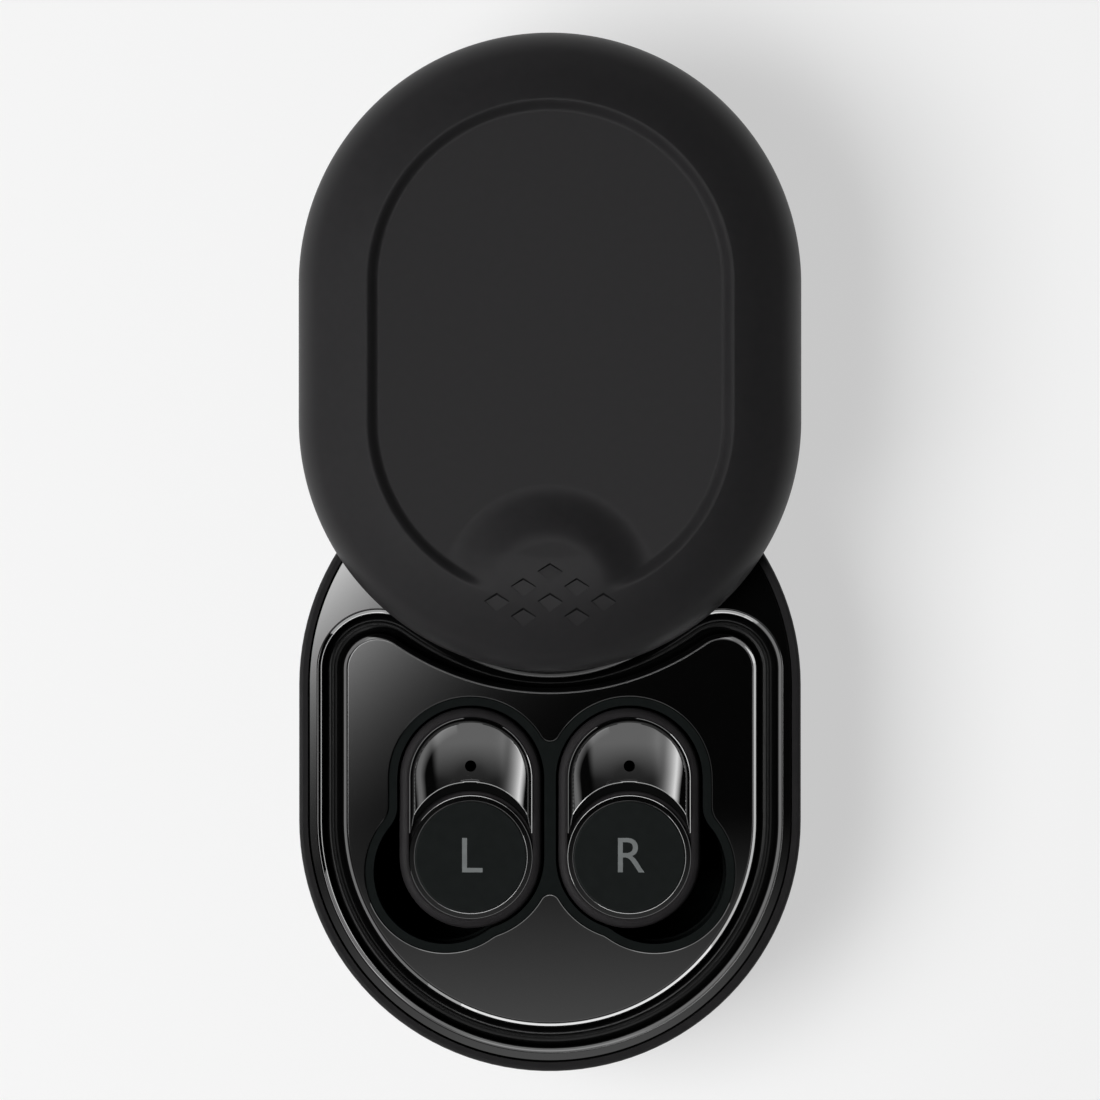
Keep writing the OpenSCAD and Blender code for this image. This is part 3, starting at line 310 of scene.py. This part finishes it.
def loop_piece(name, outline, z):
    """A closed loop of edges."""
    piece = trace(name, [(x, y, z) for x, y in outline])
    bpy.ops.mesh.select_all(action="DESELECT")
    bpy.ops.object.mode_set(mode="OBJECT")
    ends = (Vector((*outline[0], z)) * MM, Vector((*outline[-1], z)) * MM)
    for v in piece.data.vertices:
        v.select = min((v.co - e).length for e in ends) < 1e-7
    bpy.ops.object.mode_set(mode="EDIT")
    bpy.ops.mesh.edge_face_add()
    return piece


fit, bevel, slope = 0.1, 0.09, 0.04
opening = loop_piece("opening", cradle_edge(fit), deck_z - plate_t)
opening_mid = loop_piece("opening_mid", cradle_edge(fit), deck_z - slope)
opening_top = loop_piece("opening_top", cradle_edge(fit + bevel), deck_z)
join(opening, opening_mid)
bpy.ops.mesh.select_all(action="SELECT")
bpy.ops.mesh.bridge_edge_loops()
join(opening, opening_top)
pick(opening, lambda p: p.z > deck_z - plate_t / 2)
bpy.ops.mesh.bridge_edge_loops()
join(deck, opening)


def stretch(piece):
    """Draws a round piece out to the case's long shape."""
    for way in (1, -1):
        pick(piece, lambda p: p.y * way > 0)
        bpy.ops.transform.translate(value=(0, way * run * MM, 0))


# Outer edge, and the flat top filled in between the edges
facets = 256
deck_edge, edge_w, edge_drop = 29.6, 0.14, 0.06
fresh()
bpy.ops.mesh.primitive_circle_add(vertices=facets, radius=(deck_edge - edge_w) * MM)
edge = bpy.context.object
bpy.ops.object.mode_set(mode="EDIT")
bpy.ops.mesh.select_all(action="SELECT")
bpy.ops.transform.rotate(value=math.radians(180 / facets), orient_axis="Z",
                         center_override=(0, 0, 0))
bpy.ops.transform.translate(value=(0, 0, deck_z * MM))
stretch(edge)
join(deck, edge)
flat_z, inner_d, outer_d = deck_z - 0.00003, -0.5, 1.0
for test in (lambda p: p.z > flat_z and island_d(p) < inner_d,
             lambda p: p.z > flat_z and island_d(p) > outer_d):
    pick(deck, test)
    bpy.ops.mesh.mark_sharp()
    bpy.ops.mesh.fill(use_beauty=True)
pick(deck, lambda p: math.hypot(p.x, max(abs(p.y) - run, 0)) > deck_edge - edge_w - 0.01)
bpy.ops.mesh.mark_sharp()
extend(0, 0, -edge_drop)
bpy.ops.object.mode_set(mode="OBJECT")
for v in deck.data.vertices:
    if v.select:
        past = math.copysign(max(abs(v.co.y) - run * MM, 0), v.co.y)
        out = Vector((v.co.x, past)).normalized() * edge_w * MM
        v.co.x, v.co.y = v.co.x + out.x, v.co.y + out.y
bpy.ops.object.mode_set(mode="EDIT")
extend(0, 0, edge_drop - plate_t)
close_up(deck, 15)

# Polished on top, duller inside the gutter and on the opening's bevel where it faces forwards
gloss = plastic("gloss_black", (0.0016, 0.0016, 0.0016), 0.03, spec=0.8)
inside = plastic("gutter_black", (0.0012, 0.0012, 0.0012), 0.2, spec=0.12)
deck.data.materials.append(gloss)
deck.data.materials.append(inside)
for face in deck.data.polygons:
    p = face.center / MM
    d = island_d(p)
    in_gutter = 0 < d < gutter_w or (p.z < deck_z - 0.4 and d > inner_d)
    on_bevel = d < inner_d and p.z < deck_z - 0.005 and face.normal.y < 0.15
    face.material_index = int(in_gutter or on_bevel)
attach(deck, "base")
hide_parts("deck_plate")
paint(gloss, "deck_plate")


# ---- Cradle, slide shoes and catch magnets ----------------------------------------------------
# Fine matt moulding that holds the earbuds, let into the island. Two plastic shoes are screwed to
# the deck to guide the lid, and magnets under it catch the lid where it stops.

insert = plastic("cradle_matt", (0.0070, 0.0084, 0.0082), 0.5, spec=0.25)
shoe = plastic("shoe_plastic", (0.03, 0.03, 0.03), 0.4)
paint(insert, "earbud_cradle")
paint(shoe, "left_slide_shoe", "right_slide_shoe")
paint(steel, "shoe_screws", "catch_magnets")


# ---- Lid --------------------------------------------------------------------------------------
# Soft-touch moulding with a domed ring round a dished field. A thumb pad rises out of the field's
# front end, with eight small dents in the shape of chevrons; the lid runs on two steel rails.

lid_y, case_r, wall = 49.0, 30.75, 1.6
ring_mid, ring_z, ring_r = 16.76, 13.0, 20.0
field_r, field_z, top_z, step_w = 21.7, 31.2, 33.0, 1.5
pad_y, pad_in, pad_flare = -29.2, 6.2, 6.6


def soft_step(a, b, x):
    """Rises smoothly from 0 at a to 1 at b."""
    t = min(max((x - a) / (b - a), 0.0), 1.0)
    return t * t * (3 - 2 * t)


def dome(r):
    """Height of the domed ring at a distance from the lid's middle line."""
    return top_z if r < ring_mid else ring_z + math.sqrt(ring_r ** 2 - (r - ring_mid) ** 2)


def field(r):
    """Height across the dished field and its soft wall."""
    up = soft_step(field_r - step_w / 2, field_r + step_w / 2, r)
    return field_z + (dome(r) - field_z) * up


def lid_height(x, y):
    """Height of the lid's top, with the pad, at a place measured from the lid's middle."""
    r = math.hypot(x, max(abs(y) - run, 0))
    up = soft_step(pad_in + pad_flare, pad_in, math.hypot(x, y - pad_y))
    return field(r) + (dome(r) - field(r)) * up


# Shell: one section spun into a round lid, stretched, and lifted at the pad
middle_r, skirt_z, edge_r, roof_z = 3.0, 23.0, 0.35, 29.4
roll, roll_r = (24.75, 24.5), 6.0
radii = [middle_r] + [5 + 0.4 * i for i in range(39)]
radii += [20.6 + 0.15 * i for i in range(16)] + [23 + 0.5 * i for i in range(11)]
outer = [(r, field(r)) for r in radii] + arc(roll, roll_r, 55, 0, 16)
outer += arc((case_r - edge_r, skirt_z + edge_r), edge_r, 0, -90, 5)
inner = [(case_r - wall, skirt_z), (case_r - wall, roll[1])]
inner += arc(roll, roll_r - wall, 15, 50, 4) + [(25.0, roof_z), (middle_r, roof_z)]
first = math.radians(180 / facets)
lid = trace("lid", [(r * math.cos(first), r * math.sin(first), z) for r, z in outer + inner])
turn((0, 0), 360, facets)
weld()
stretch(lid)
bpy.ops.mesh.select_all(action="SELECT")
bpy.ops.mesh.fill_holes(sides=0)
bpy.ops.object.mode_set(mode="OBJECT")
for v in lid.data.vertices:
    p = v.co / MM
    if p.z > roof_z + 1.1 and math.hypot(p.x, p.y - pad_y) < pad_in + pad_flare:
        v.co.z = lid_height(p.x, p.y) * MM
close_up(lid, 35)


def cut_out(piece, cutter):
    """Takes one mesh away from another."""
    fresh()
    piece.select_set(True)
    bpy.context.view_layer.objects.active = piece
    cut = piece.modifiers.new("cut", "BOOLEAN")
    cut.object = cutter
    cut.operation = "DIFFERENCE"
    cut.solver = "EXACT"
    bpy.ops.object.modifier_apply(modifier="cut")
    bpy.data.objects.remove(cutter)


# Chevrons: each a wedge-shaped dent, deepest at its point and running out towards the front
chev_w, chev_h, chev_ramp, chev_deep, chev_side = 1.53, 0.9, 1.1, 0.34, 0.7
chev_over, chev_up = 0.03, 2.0
across_step, row_step, first_row = 6.48, 1.83, 3.2
cutters = []
for row, count in enumerate((1, 2, 3, 2)):
    for i in range(count):
        x, y = (i - (count - 1) / 2) * across_step, pad_y + first_row - row * row_step
        corners = [(x, y, chev_deep), (x + chev_w, y - chev_h, 0.5 * chev_deep),
                   (x, y - chev_h - chev_ramp, -chev_over),
                   (x - chev_w, y - chev_h, 0.5 * chev_deep)]
        fresh()
        bpy.ops.mesh.primitive_circle_add(vertices=4, radius=MM, fill_type="NGON")
        cutter = bpy.context.object
        for v, (cx, cy, deep) in zip(cutter.data.vertices, corners):
            v.co = Vector((cx, cy, lid_height(cx, cy) - deep)) * MM
        bpy.ops.object.mode_set(mode="EDIT")
        bpy.ops.mesh.select_all(action="SELECT")
        bpy.ops.mesh.quads_convert_to_tris()
        extend(0, 0, chev_up)
        pick(cutter, lambda p: p.z > lid_height(p.x, p.y) + 0.6 and p.y > y - chev_h - 0.1)
        bpy.ops.transform.translate(value=(0, chev_up * chev_side * MM, 0))
        close_up(cutter, 0)
        cutters.append(cutter)
join(cutters[0], *cutters[1:])
cut_out(lid, cutters[0])

# The dents' steep faces get a darker colour, which is painted shade in the dents; then the lid
# goes to where it stands open
lid_soft = plastic("lid_soft_touch", (0.0140, 0.0135, 0.0142), 0.5, spec=0.3)
dent = plastic("painted_dent_shade", (0.0060, 0.0058, 0.0062), 0.6, spec=0.1)
lid.data.materials.append(lid_soft)
lid.data.materials.append(dent)
# Faces on the dents' steep sides take the darker colour: painted shade, not a second finish
for face in lid.data.polygons:
    p = face.center / MM
    near_pad = abs(p.x) < 9 and abs(p.y - pad_y) < 5
    if near_pad and p.z < lid_height(p.x, p.y) - 0.02 and face.normal.z < 0.75:
        face.material_index = 1
bpy.ops.object.mode_set(mode="EDIT")
bpy.ops.mesh.select_all(action="SELECT")
bpy.ops.transform.translate(value=(0, lid_y * MM, 0))
bpy.ops.object.mode_set(mode="OBJECT")
bpy.ops.object.shade_smooth_by_angle(angle=math.radians(35))
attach(lid, "lid")
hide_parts("lid_shell")
paint(lid_soft, "lid_shell")
paint(dark, "lid_liner")
paint(steel, "left_slide_rail", "right_slide_rail", "rail_screws", "lid_magnet")


# ---- Earbuds ----------------------------------------------------------------------------------
# Each has a soft-touch body, a matt touch disc in a polished ring, a polished domed cap over the
# stem with a microphone hole, and a silicone tip on the nozzle underneath.

bud_z, seat_low, cap_rise, cap_out = 20.85, 20.2, 1.7, 7.57
crown_r, crown_flat, crown_end = 18.0, 1.74, 6.85
rim_w, rim_drop, rim_gap = 0.12, 0.06, 0.02
front_r, front_lean, disc_set = 8.0, 0.84, 9.6
fall_y, fall_run, fall, taper_from, taper_to = -6.0, 13.0, 0.42, -0.2, 2.6
dome_out = cap_out - rim_w - rim_gap
flank_lean = (crown_end - crown_flat) / crown_r
flank_r = (dome_out - crown_end) / (1 - flank_lean)
end_angle = math.degrees(math.acos(dome_out / front_r))
tip_y = front_r * math.sin(math.radians(end_angle)) - disc_set


def crown(r):
    """Height of the cap across the stem, above its edge: flat, then round, then a steep flank."""
    if r < crown_flat:
        return cap_rise
    if r < crown_end:
        return cap_rise - crown_r + math.sqrt(crown_r ** 2 - (r - crown_flat) ** 2)
    low = cap_rise - crown_r + math.sqrt(crown_r ** 2 - (crown_end - crown_flat) ** 2)
    lean = min(1.0, flank_lean + (r - crown_end) / flank_r)
    return low - flank_r * (math.sqrt(1 - flank_lean ** 2) - math.sqrt(1 - lean ** 2))


def cap_height(x, y):
    """Height of the cap at a place measured from the stem's centre: lower at the back and tips."""
    back = max(0.0, (y - fall_y) / fall_run)
    tips = soft_step(tip_y + taper_from, tip_y + taper_to, y)
    return crown(math.hypot(x, max(y, 0.0))) * (1 - fall * back * back) * tips


def cap_front(angle):
    """Where the cap's front edge lies, seen from the disc's centre."""
    r = front_r + 0.2
    angle = math.radians(angle)
    for _ in range(40):
        x, y = r * math.cos(angle), r * math.sin(angle) - disc_set
        r = front_r + front_lean * (cap_height(x, y) if abs(x) < dome_out else 0)
    return x, y


wide, deep, front_rows = 96, 48, 8
straight, curve = -tip_y, math.pi * cap_out
last_dome = deep + 3


def cap_point(t, j):
    """Place in row j of the cap, at share t of the way round from its left tip to its right.

    Row 0 is the foot of the skirt, rows 1 and 2 the rim; then come the dome and the front wall.
    """
    r = cap_out if j < 2 else cap_out - rim_w if j == 2 else dome_out
    s = t * (2 * straight + curve)
    if s < straight:
        side = (-r, tip_y + s)
    elif s > straight + curve:
        side = (r, tip_y + 2 * straight + curve - s)
    else:
        a = math.pi - (s - straight) / cap_out
        side = (r * math.cos(a), r * math.sin(a))
    if j == 0:
        return *side, seat_low - bud_z
    if j < 3:
        return *side, -rim_drop * (2 - j) - rim_gap
    front = cap_front(180 - end_angle - t * (180 - 2 * end_angle))
    if j <= last_dome:
        u = (j - 3) / deep
        u = 1 - math.cos(u * math.pi / 2) if u < 1 else 1.0
        x, y = side[0] + (front[0] - side[0]) * u, side[1] + (front[1] - side[1]) * u
        return x, y, cap_height(x, y)
    u = (j - last_dome) / front_rows
    away = Vector(front) + Vector((0, disc_set))
    over, high = away.length - front_r, cap_height(*front)
    r, z = away.length - over * u, high * (1 - u) + (seat_low - bud_z if u == 1 else 0)
    if j == last_dome + 1:  # the front edge is rounded off a little
        r, z = away.length - min(0.09, 0.3 * over), high - min(0.04, 0.2 * high)
    return *(away.normalized() * r - Vector((0, disc_set))), z


mic_y, mic_r, patch_r = 1.63, 0.7, 2.2
ring_in, ring_floor = 6.92, bud_z - 0.30
in_lip_w, in_lip_h, out_lip_w, out_lip_h = 0.04, 0.02, 0.05, 0.024
caps, rings = {}, {}
for side, name in ((-1, "left"), (1, "right")):
    stem = Vector((side * bud_x, stem_y, bud_z))
    fresh()
    bpy.ops.mesh.primitive_grid_add(x_subdivisions=wide, y_subdivisions=last_dome + front_rows,
                                    size=MM)
    cap = bpy.context.object
    cap.name = cap.data.name = name + "_cap"
    for k, v in enumerate(cap.data.vertices):
        x, y, z = cap_point(k % (wide + 1) / wide, k // (wide + 1))
        v.co = Vector((x + side * bud_x, y + stem_y, z + bud_z)) * MM
    close_up(cap, 22)
    cap.data.materials.append(gloss)
    cap.data.materials.append(inside)
    for face in cap.data.polygons:  # the steep flank is duller than the dome
        p = face.center / MM - stem
        if crown_end + 0.05 < math.hypot(p.x, max(p.y, 0)) < dome_out + 0.01:
            face.material_index = 1

    # Microphone hole; the gloss round it keeps the smooth shading of the cap before the cut
    whole = cap.copy()
    whole.data = cap.data.copy()
    bpy.context.scene.collection.objects.link(whole)
    fresh()
    at = (side * bud_x * MM, (stem_y + mic_y) * MM, 20 * MM)
    bpy.ops.mesh.primitive_cylinder_add(vertices=48, radius=mic_r * MM, depth=8 * MM, location=at)
    cut_out(cap, bpy.context.object)
    near_hole = cap.vertex_groups.new(name="near_hole")
    for v in cap.data.vertices:
        p = v.co / MM - stem
        if math.hypot(p.x, p.y - mic_y) < patch_r:
            near_hole.add([v.index], 1.0, "ADD")
    sheen = cap.modifiers.new("sheen", "DATA_TRANSFER")
    sheen.object = whole
    sheen.use_loop_data = True
    sheen.data_types_loops = {"CUSTOM_NORMAL"}
    sheen.loop_mapping = "POLYINTERP_NEAREST"
    sheen.vertex_group = "near_hole"
    bpy.ops.object.modifier_apply(modifier="sheen")
    bpy.data.objects.remove(whole)
    cap.vertex_groups.clear()
    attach(cap, name + "_bud")
    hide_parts(name + "_stem_cap")

    # Ring round the disc, with a fine lip at each edge
    ring = trace(name + "_ring", [(side * bud_x + r, bud_y, z) for r, z in (
        (ring_in, seat_low), (ring_in, ring_floor + in_lip_h), (ring_in + in_lip_w, ring_floor),
        (cap_out - out_lip_w, ring_floor), (cap_out, ring_floor + out_lip_h),
        (cap_out, seat_low))])
    turn((side * bud_x, bud_y), 360, 128)
    close_up(ring, 15)
    ring.data.materials.append(gloss)
    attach(ring, name + "_bud")
    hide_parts(name + "_disc_ring")
    caps[name], rings[name] = cap, ring

# Bodies, inner pieces, and a plain letter printed on each disc
body_soft = plastic("bud_soft_touch", (0.0180, 0.0170, 0.0178), 0.45, spec=0.35)
disc_matt = plastic("disc_matt", (0.0098, 0.0112, 0.0110), 0.5, spec=0.25)
rubber = plastic("silicone", (0.015, 0.015, 0.015), 0.6, spec=0.3)
letter = plastic("mark_grey", (0.15, 0.16, 0.16), 0.5, spec=0.25)
letter_h, ink = 6.2, 0.01
for name in ("left", "right"):
    paint(body_soft, name + "_bud_housing", name + "_ear_shell")
    paint(gloss, name + "_disc_ring", name + "_stem_cap")
    paint(disc_matt, name + "_touch_disc")
    paint(rubber, name + "_ear_tip")
    paint(steel, name + "_nozzle_mesh", name + "_driver", name + "_bud_magnet")
    paint(dark, name + "_microphone")
    paint(foil, name + "_bud_cell")
    paint(board, name + "_bud_board")
    paint(gold, name + "_contacts")
    lo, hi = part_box(name + "_touch_disc")
    fresh()
    bpy.ops.object.text_add(location=(0, 0, 0))
    mark = bpy.context.object
    mark.name = name + "_mark"
    mark.data.body = name[0].upper()
    mark.data.align_x, mark.data.align_y = "CENTER", "CENTER"
    mark.data.size = letter_h * MM
    mark.data.extrude = ink * MM
    mark.location = ((lo.x + hi.x) / 2, (lo.y + hi.y) / 2, hi.z + ink / 2 * MM)
    bpy.ops.object.convert(target="MESH")
    mark = bpy.context.object
    bpy.ops.object.transform_apply(location=True, rotation=True, scale=True)
    mark.data.materials.append(letter)
    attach(mark, name + "_bud")


# ---- Stage ------------------------------------------------------------------------------------
# Pale studio floor, which glows a little where it is seen, and a large soft box on the left that
# lights everything. The other cards only show as reflections in the polished pieces and the lid.

floor_glow = 0.56
floor_pale = bpy.data.materials.new("floor_pale")
floor_pale.use_nodes = True
tree = floor_pale.node_tree
paper = tree.nodes["Principled BSDF"]
paper.inputs["Base Color"].default_value = (0.35, 0.35, 0.35, 1)
paper.inputs["Roughness"].default_value = 1.0
paper.inputs["Specular IOR Level"].default_value = 0.0
paper.inputs["Emission Color"].default_value = (1, 1, 1, 1)
sight = tree.nodes.new("ShaderNodeLightPath")
seen = None
for kind in ("Is Camera Ray", "Is Glossy Ray", "Is Transmission Ray"):
    both = tree.nodes.new("ShaderNodeMath")
    both.operation = "MULTIPLY_ADD"
    both.inputs[1].default_value = floor_glow
    both.inputs[2].default_value = 0.0
    tree.links.new(sight.outputs[kind], both.inputs[0])
    if seen:
        tree.links.new(seen, both.inputs[2])
    seen = both.outputs[0]
tree.links.new(seen, paper.inputs["Emission Strength"])
fresh()
bpy.ops.mesh.primitive_circle_add(vertices=96, radius=4.0, fill_type="NGON")
floor = bpy.context.object
floor.name = "floor"
floor.data.materials.append(floor_pale)
floor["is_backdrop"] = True

polished = bpy.data.collections.new("polished_pieces")
for piece in (deck, *caps.values(), *rings.values()):
    polished.objects.link(piece)
lacquered = bpy.data.collections.new("lacquered_pieces")
lacquered.objects.link(lid)


def glow(piece, radiance, edge=(), ramps=(), show="gloss"):
    """Makes a piece a soft light that dims by shares of its size at its edges, and along ramps.

    A ramp has a direction, or None for the distance from the middle, the places where it starts
    and ends, and a power. The light shows on matt pieces, in the gloss or as the lid's sheen.
    """
    mat = bpy.data.materials.new(piece.name)
    mat.use_nodes = True
    tree = mat.node_tree
    tree.nodes.remove(tree.nodes["Principled BSDF"])
    light = tree.nodes.new("ShaderNodeEmission")
    veil = tree.nodes.new("ShaderNodeBsdfTransparent")
    blend_in = tree.nodes.new("ShaderNodeAddShader")
    tree.links.new(light.outputs["Emission"], blend_in.inputs[0])
    tree.links.new(veil.outputs["BSDF"], blend_in.inputs[1])
    tree.links.new(blend_in.outputs["Shader"], tree.nodes["Material Output"].inputs["Surface"])
    where = tree.nodes.new("ShaderNodeTexCoord")
    split = tree.nodes.new("ShaderNodeSeparateXYZ")
    tree.links.new(where.outputs["Object"], split.inputs["Vector"])
    place = tree.nodes.new("ShaderNodeNewGeometry")
    shares = []
    for axis, part in zip("XY", edge):
        for sign in (1, -1) if part else ():
            fade = tree.nodes.new("ShaderNodeMapRange")
            fade.interpolation_type = "SMOOTHSTEP"
            fade.inputs["From Min"].default_value = -0.5 * sign
            fade.inputs["From Max"].default_value = (-0.5 + part) * sign
            tree.links.new(split.outputs[axis], fade.inputs["Value"])
            shares.append(fade.outputs["Result"])
    for way, start, end, power in ramps:
        dot = tree.nodes.new("ShaderNodeVectorMath")
        dot.operation = "DOT_PRODUCT" if way else "LENGTH"
        dot.inputs[1].default_value = way or (0, 0, 0)
        tree.links.new(place.outputs["Position"], dot.inputs[0])
        fade = tree.nodes.new("ShaderNodeMapRange")
        fade.inputs["From Min"].default_value = start
        fade.inputs["From Max"].default_value = end
        tree.links.new(dot.outputs["Value"], fade.inputs["Value"])
        power_of = tree.nodes.new("ShaderNodeMath")
        power_of.operation = "POWER"
        power_of.inputs[1].default_value = power
        tree.links.new(fade.outputs["Result"], power_of.inputs[0])
        shares.append(power_of.outputs[0])
    light.inputs["Strength"].default_value = radiance
    level = None
    for share in shares:
        both = tree.nodes.new("ShaderNodeMath")
        both.operation = "MULTIPLY"
        both.inputs[0].default_value = radiance
        if level:
            tree.links.new(level, both.inputs[0])
        tree.links.new(share, both.inputs[1])
        level = both.outputs[0]
    if level:
        tree.links.new(level, light.inputs["Strength"])
    piece.data.materials.append(mat)
    piece.visible_camera = False
    piece.visible_shadow = False
    piece.visible_diffuse = show == "matt"
    piece.visible_glossy = show != "matt"
    if show != "matt":
        piece.light_linking.receiver_collection = polished if show == "gloss" else lacquered
    piece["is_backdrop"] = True


def card(name, place, aim, size, radiance, edge=(), ramps=(), show="gloss"):
    """A soft box that faces a point."""
    fresh()
    bpy.ops.mesh.primitive_plane_add(size=1.0)
    plane = bpy.context.object
    plane.name = name
    plane.location = place
    plane.rotation_mode = "QUATERNION"
    plane.rotation_quaternion = (Vector(aim) - Vector(place)).to_track_quat("Z", "Y")
    plane.scale = (size[0], size[1], 1)
    glow(plane, radiance, edge, ramps, show)


def strip(name, ends, along, middle, degrees, steps, radiance, ramps=()):
    """A long light between two lines: drawn straight along y, then bent round an upright axis."""
    piece = trace(name, ends)
    if along:
        extend(0, along, 0)
    turn(middle, degrees, steps)
    bpy.ops.object.mode_set(mode="OBJECT")
    glow(piece, radiance, (), ramps)


def arch(name, start, degrees, radiance, ramps=()):
    """A strip bent round the table, about forty degrees above it."""
    far, start = 1100, math.radians(start)
    ends = [(far * math.cos(up) * math.cos(start), far * math.cos(up) * math.sin(start),
             far * math.sin(up)) for up in (math.radians(27), math.radians(55))]
    strip(name, ends, 0, (0, 0), degrees, 40, radiance, ramps)


deck_m = deck_z * MM
card("key", (-1.05, -0.22, 1.5), (0, 0.02, 0), (1.4, 1.4), 11.0, (0.2, 0.2), show="matt")
card("top_sheen", (0, -0.2, 1.6), (0, -0.2, 0), (0.5, 1.0), 3.8, (0.2, 0.1), show="sheen")
card("deck_card", (-0.02, 0.01, deck_m + 1.5), (-0.02, 0.01, 0), (0.26, 0.15), 10.8,
     ramps=[((-0.7071, 0.7071, 0), -0.060, 0.062, 6.45)])
card("front_card", (0, -0.165, deck_m + 1.49), (0, -0.165, 0), (0.5, 0.23), 1.6, (0.2, 0.0),
     ramps=[((0, -1, 0), 0.05, 0.15, 1.3)])
card("back_card", (-0.03, 0.55, 1.33), (-0.03, 0, 0.02), (0.90, 1.2), 1.8, (0.15, 0.02),
     ramps=[((0, 1, 0), 0.03, 0.5, 1.2)])
card("right_strip", (0.215, 0.10, 0.60), (0.215, 0.10, 0), (0.30, 0.46), 10.0, (0.0, 0.2),
     ramps=[((1, 0, 0), 0.05, 0.268, 3.0), ((-1, 0, 0), -0.33, -0.275, 1.0)])
strip("left_strip", [(-255, -100, 600), (-375, -100, 600)], 100, (0, 0), -75, 30, 1.9,
      ramps=[(None, 0.655, 0.675, 1.0), (None, 0.706, 0.688, 1.0)])
arch("front_arch", -40, -85, 5.0, ramps=[((1, 0, 0), -0.75, -0.2, 1.0)])
arch("back_arch", 10, 240, 2.2)
strip("near_strip", [(70, 60, 81), (140, 60, 81)], -(60 + run), (0, -run), -115, 40, 7.0,
      ramps=[((1, 0, 0), -0.11, -0.03, 1.0)])

# Surroundings: a faint light near the horizon, dark above
world = bpy.data.worlds.new("studio")
bpy.context.scene.world = world
world.use_nodes = True
tree = world.node_tree
ray = tree.nodes.new("ShaderNodeTexCoord")
part = tree.nodes.new("ShaderNodeSeparateXYZ")
tree.links.new(ray.outputs["Generated"], part.inputs["Vector"])
fade = tree.nodes.new("ShaderNodeMapRange")
fade.interpolation_type = "SMOOTHSTEP"
fade.inputs["From Min"].default_value = 0.20
fade.inputs["From Max"].default_value = 0.60
fade.inputs["To Min"].default_value = 0.28
fade.inputs["To Max"].default_value = 0.0
tree.links.new(part.outputs["Z"], fade.inputs["Value"])
tree.links.new(fade.outputs["Result"], tree.nodes["Background"].inputs["Strength"])
tree.nodes["Background"].inputs["Color"].default_value = (1, 1, 1, 1)

# Camera: straight above, with a long lens
eye = bpy.data.cameras.new("camera")
eye.sensor_width = 36
eye.lens = 300
eye.clip_end = 20
camera = bpy.data.objects.new("camera", eye)
bpy.context.scene.collection.objects.link(camera)
camera.location = (0, 0.0248, deck_m + 1.125)
bpy.context.scene.camera = camera
bpy.context.scene.view_settings.view_transform = "Standard"

lo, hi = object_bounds()
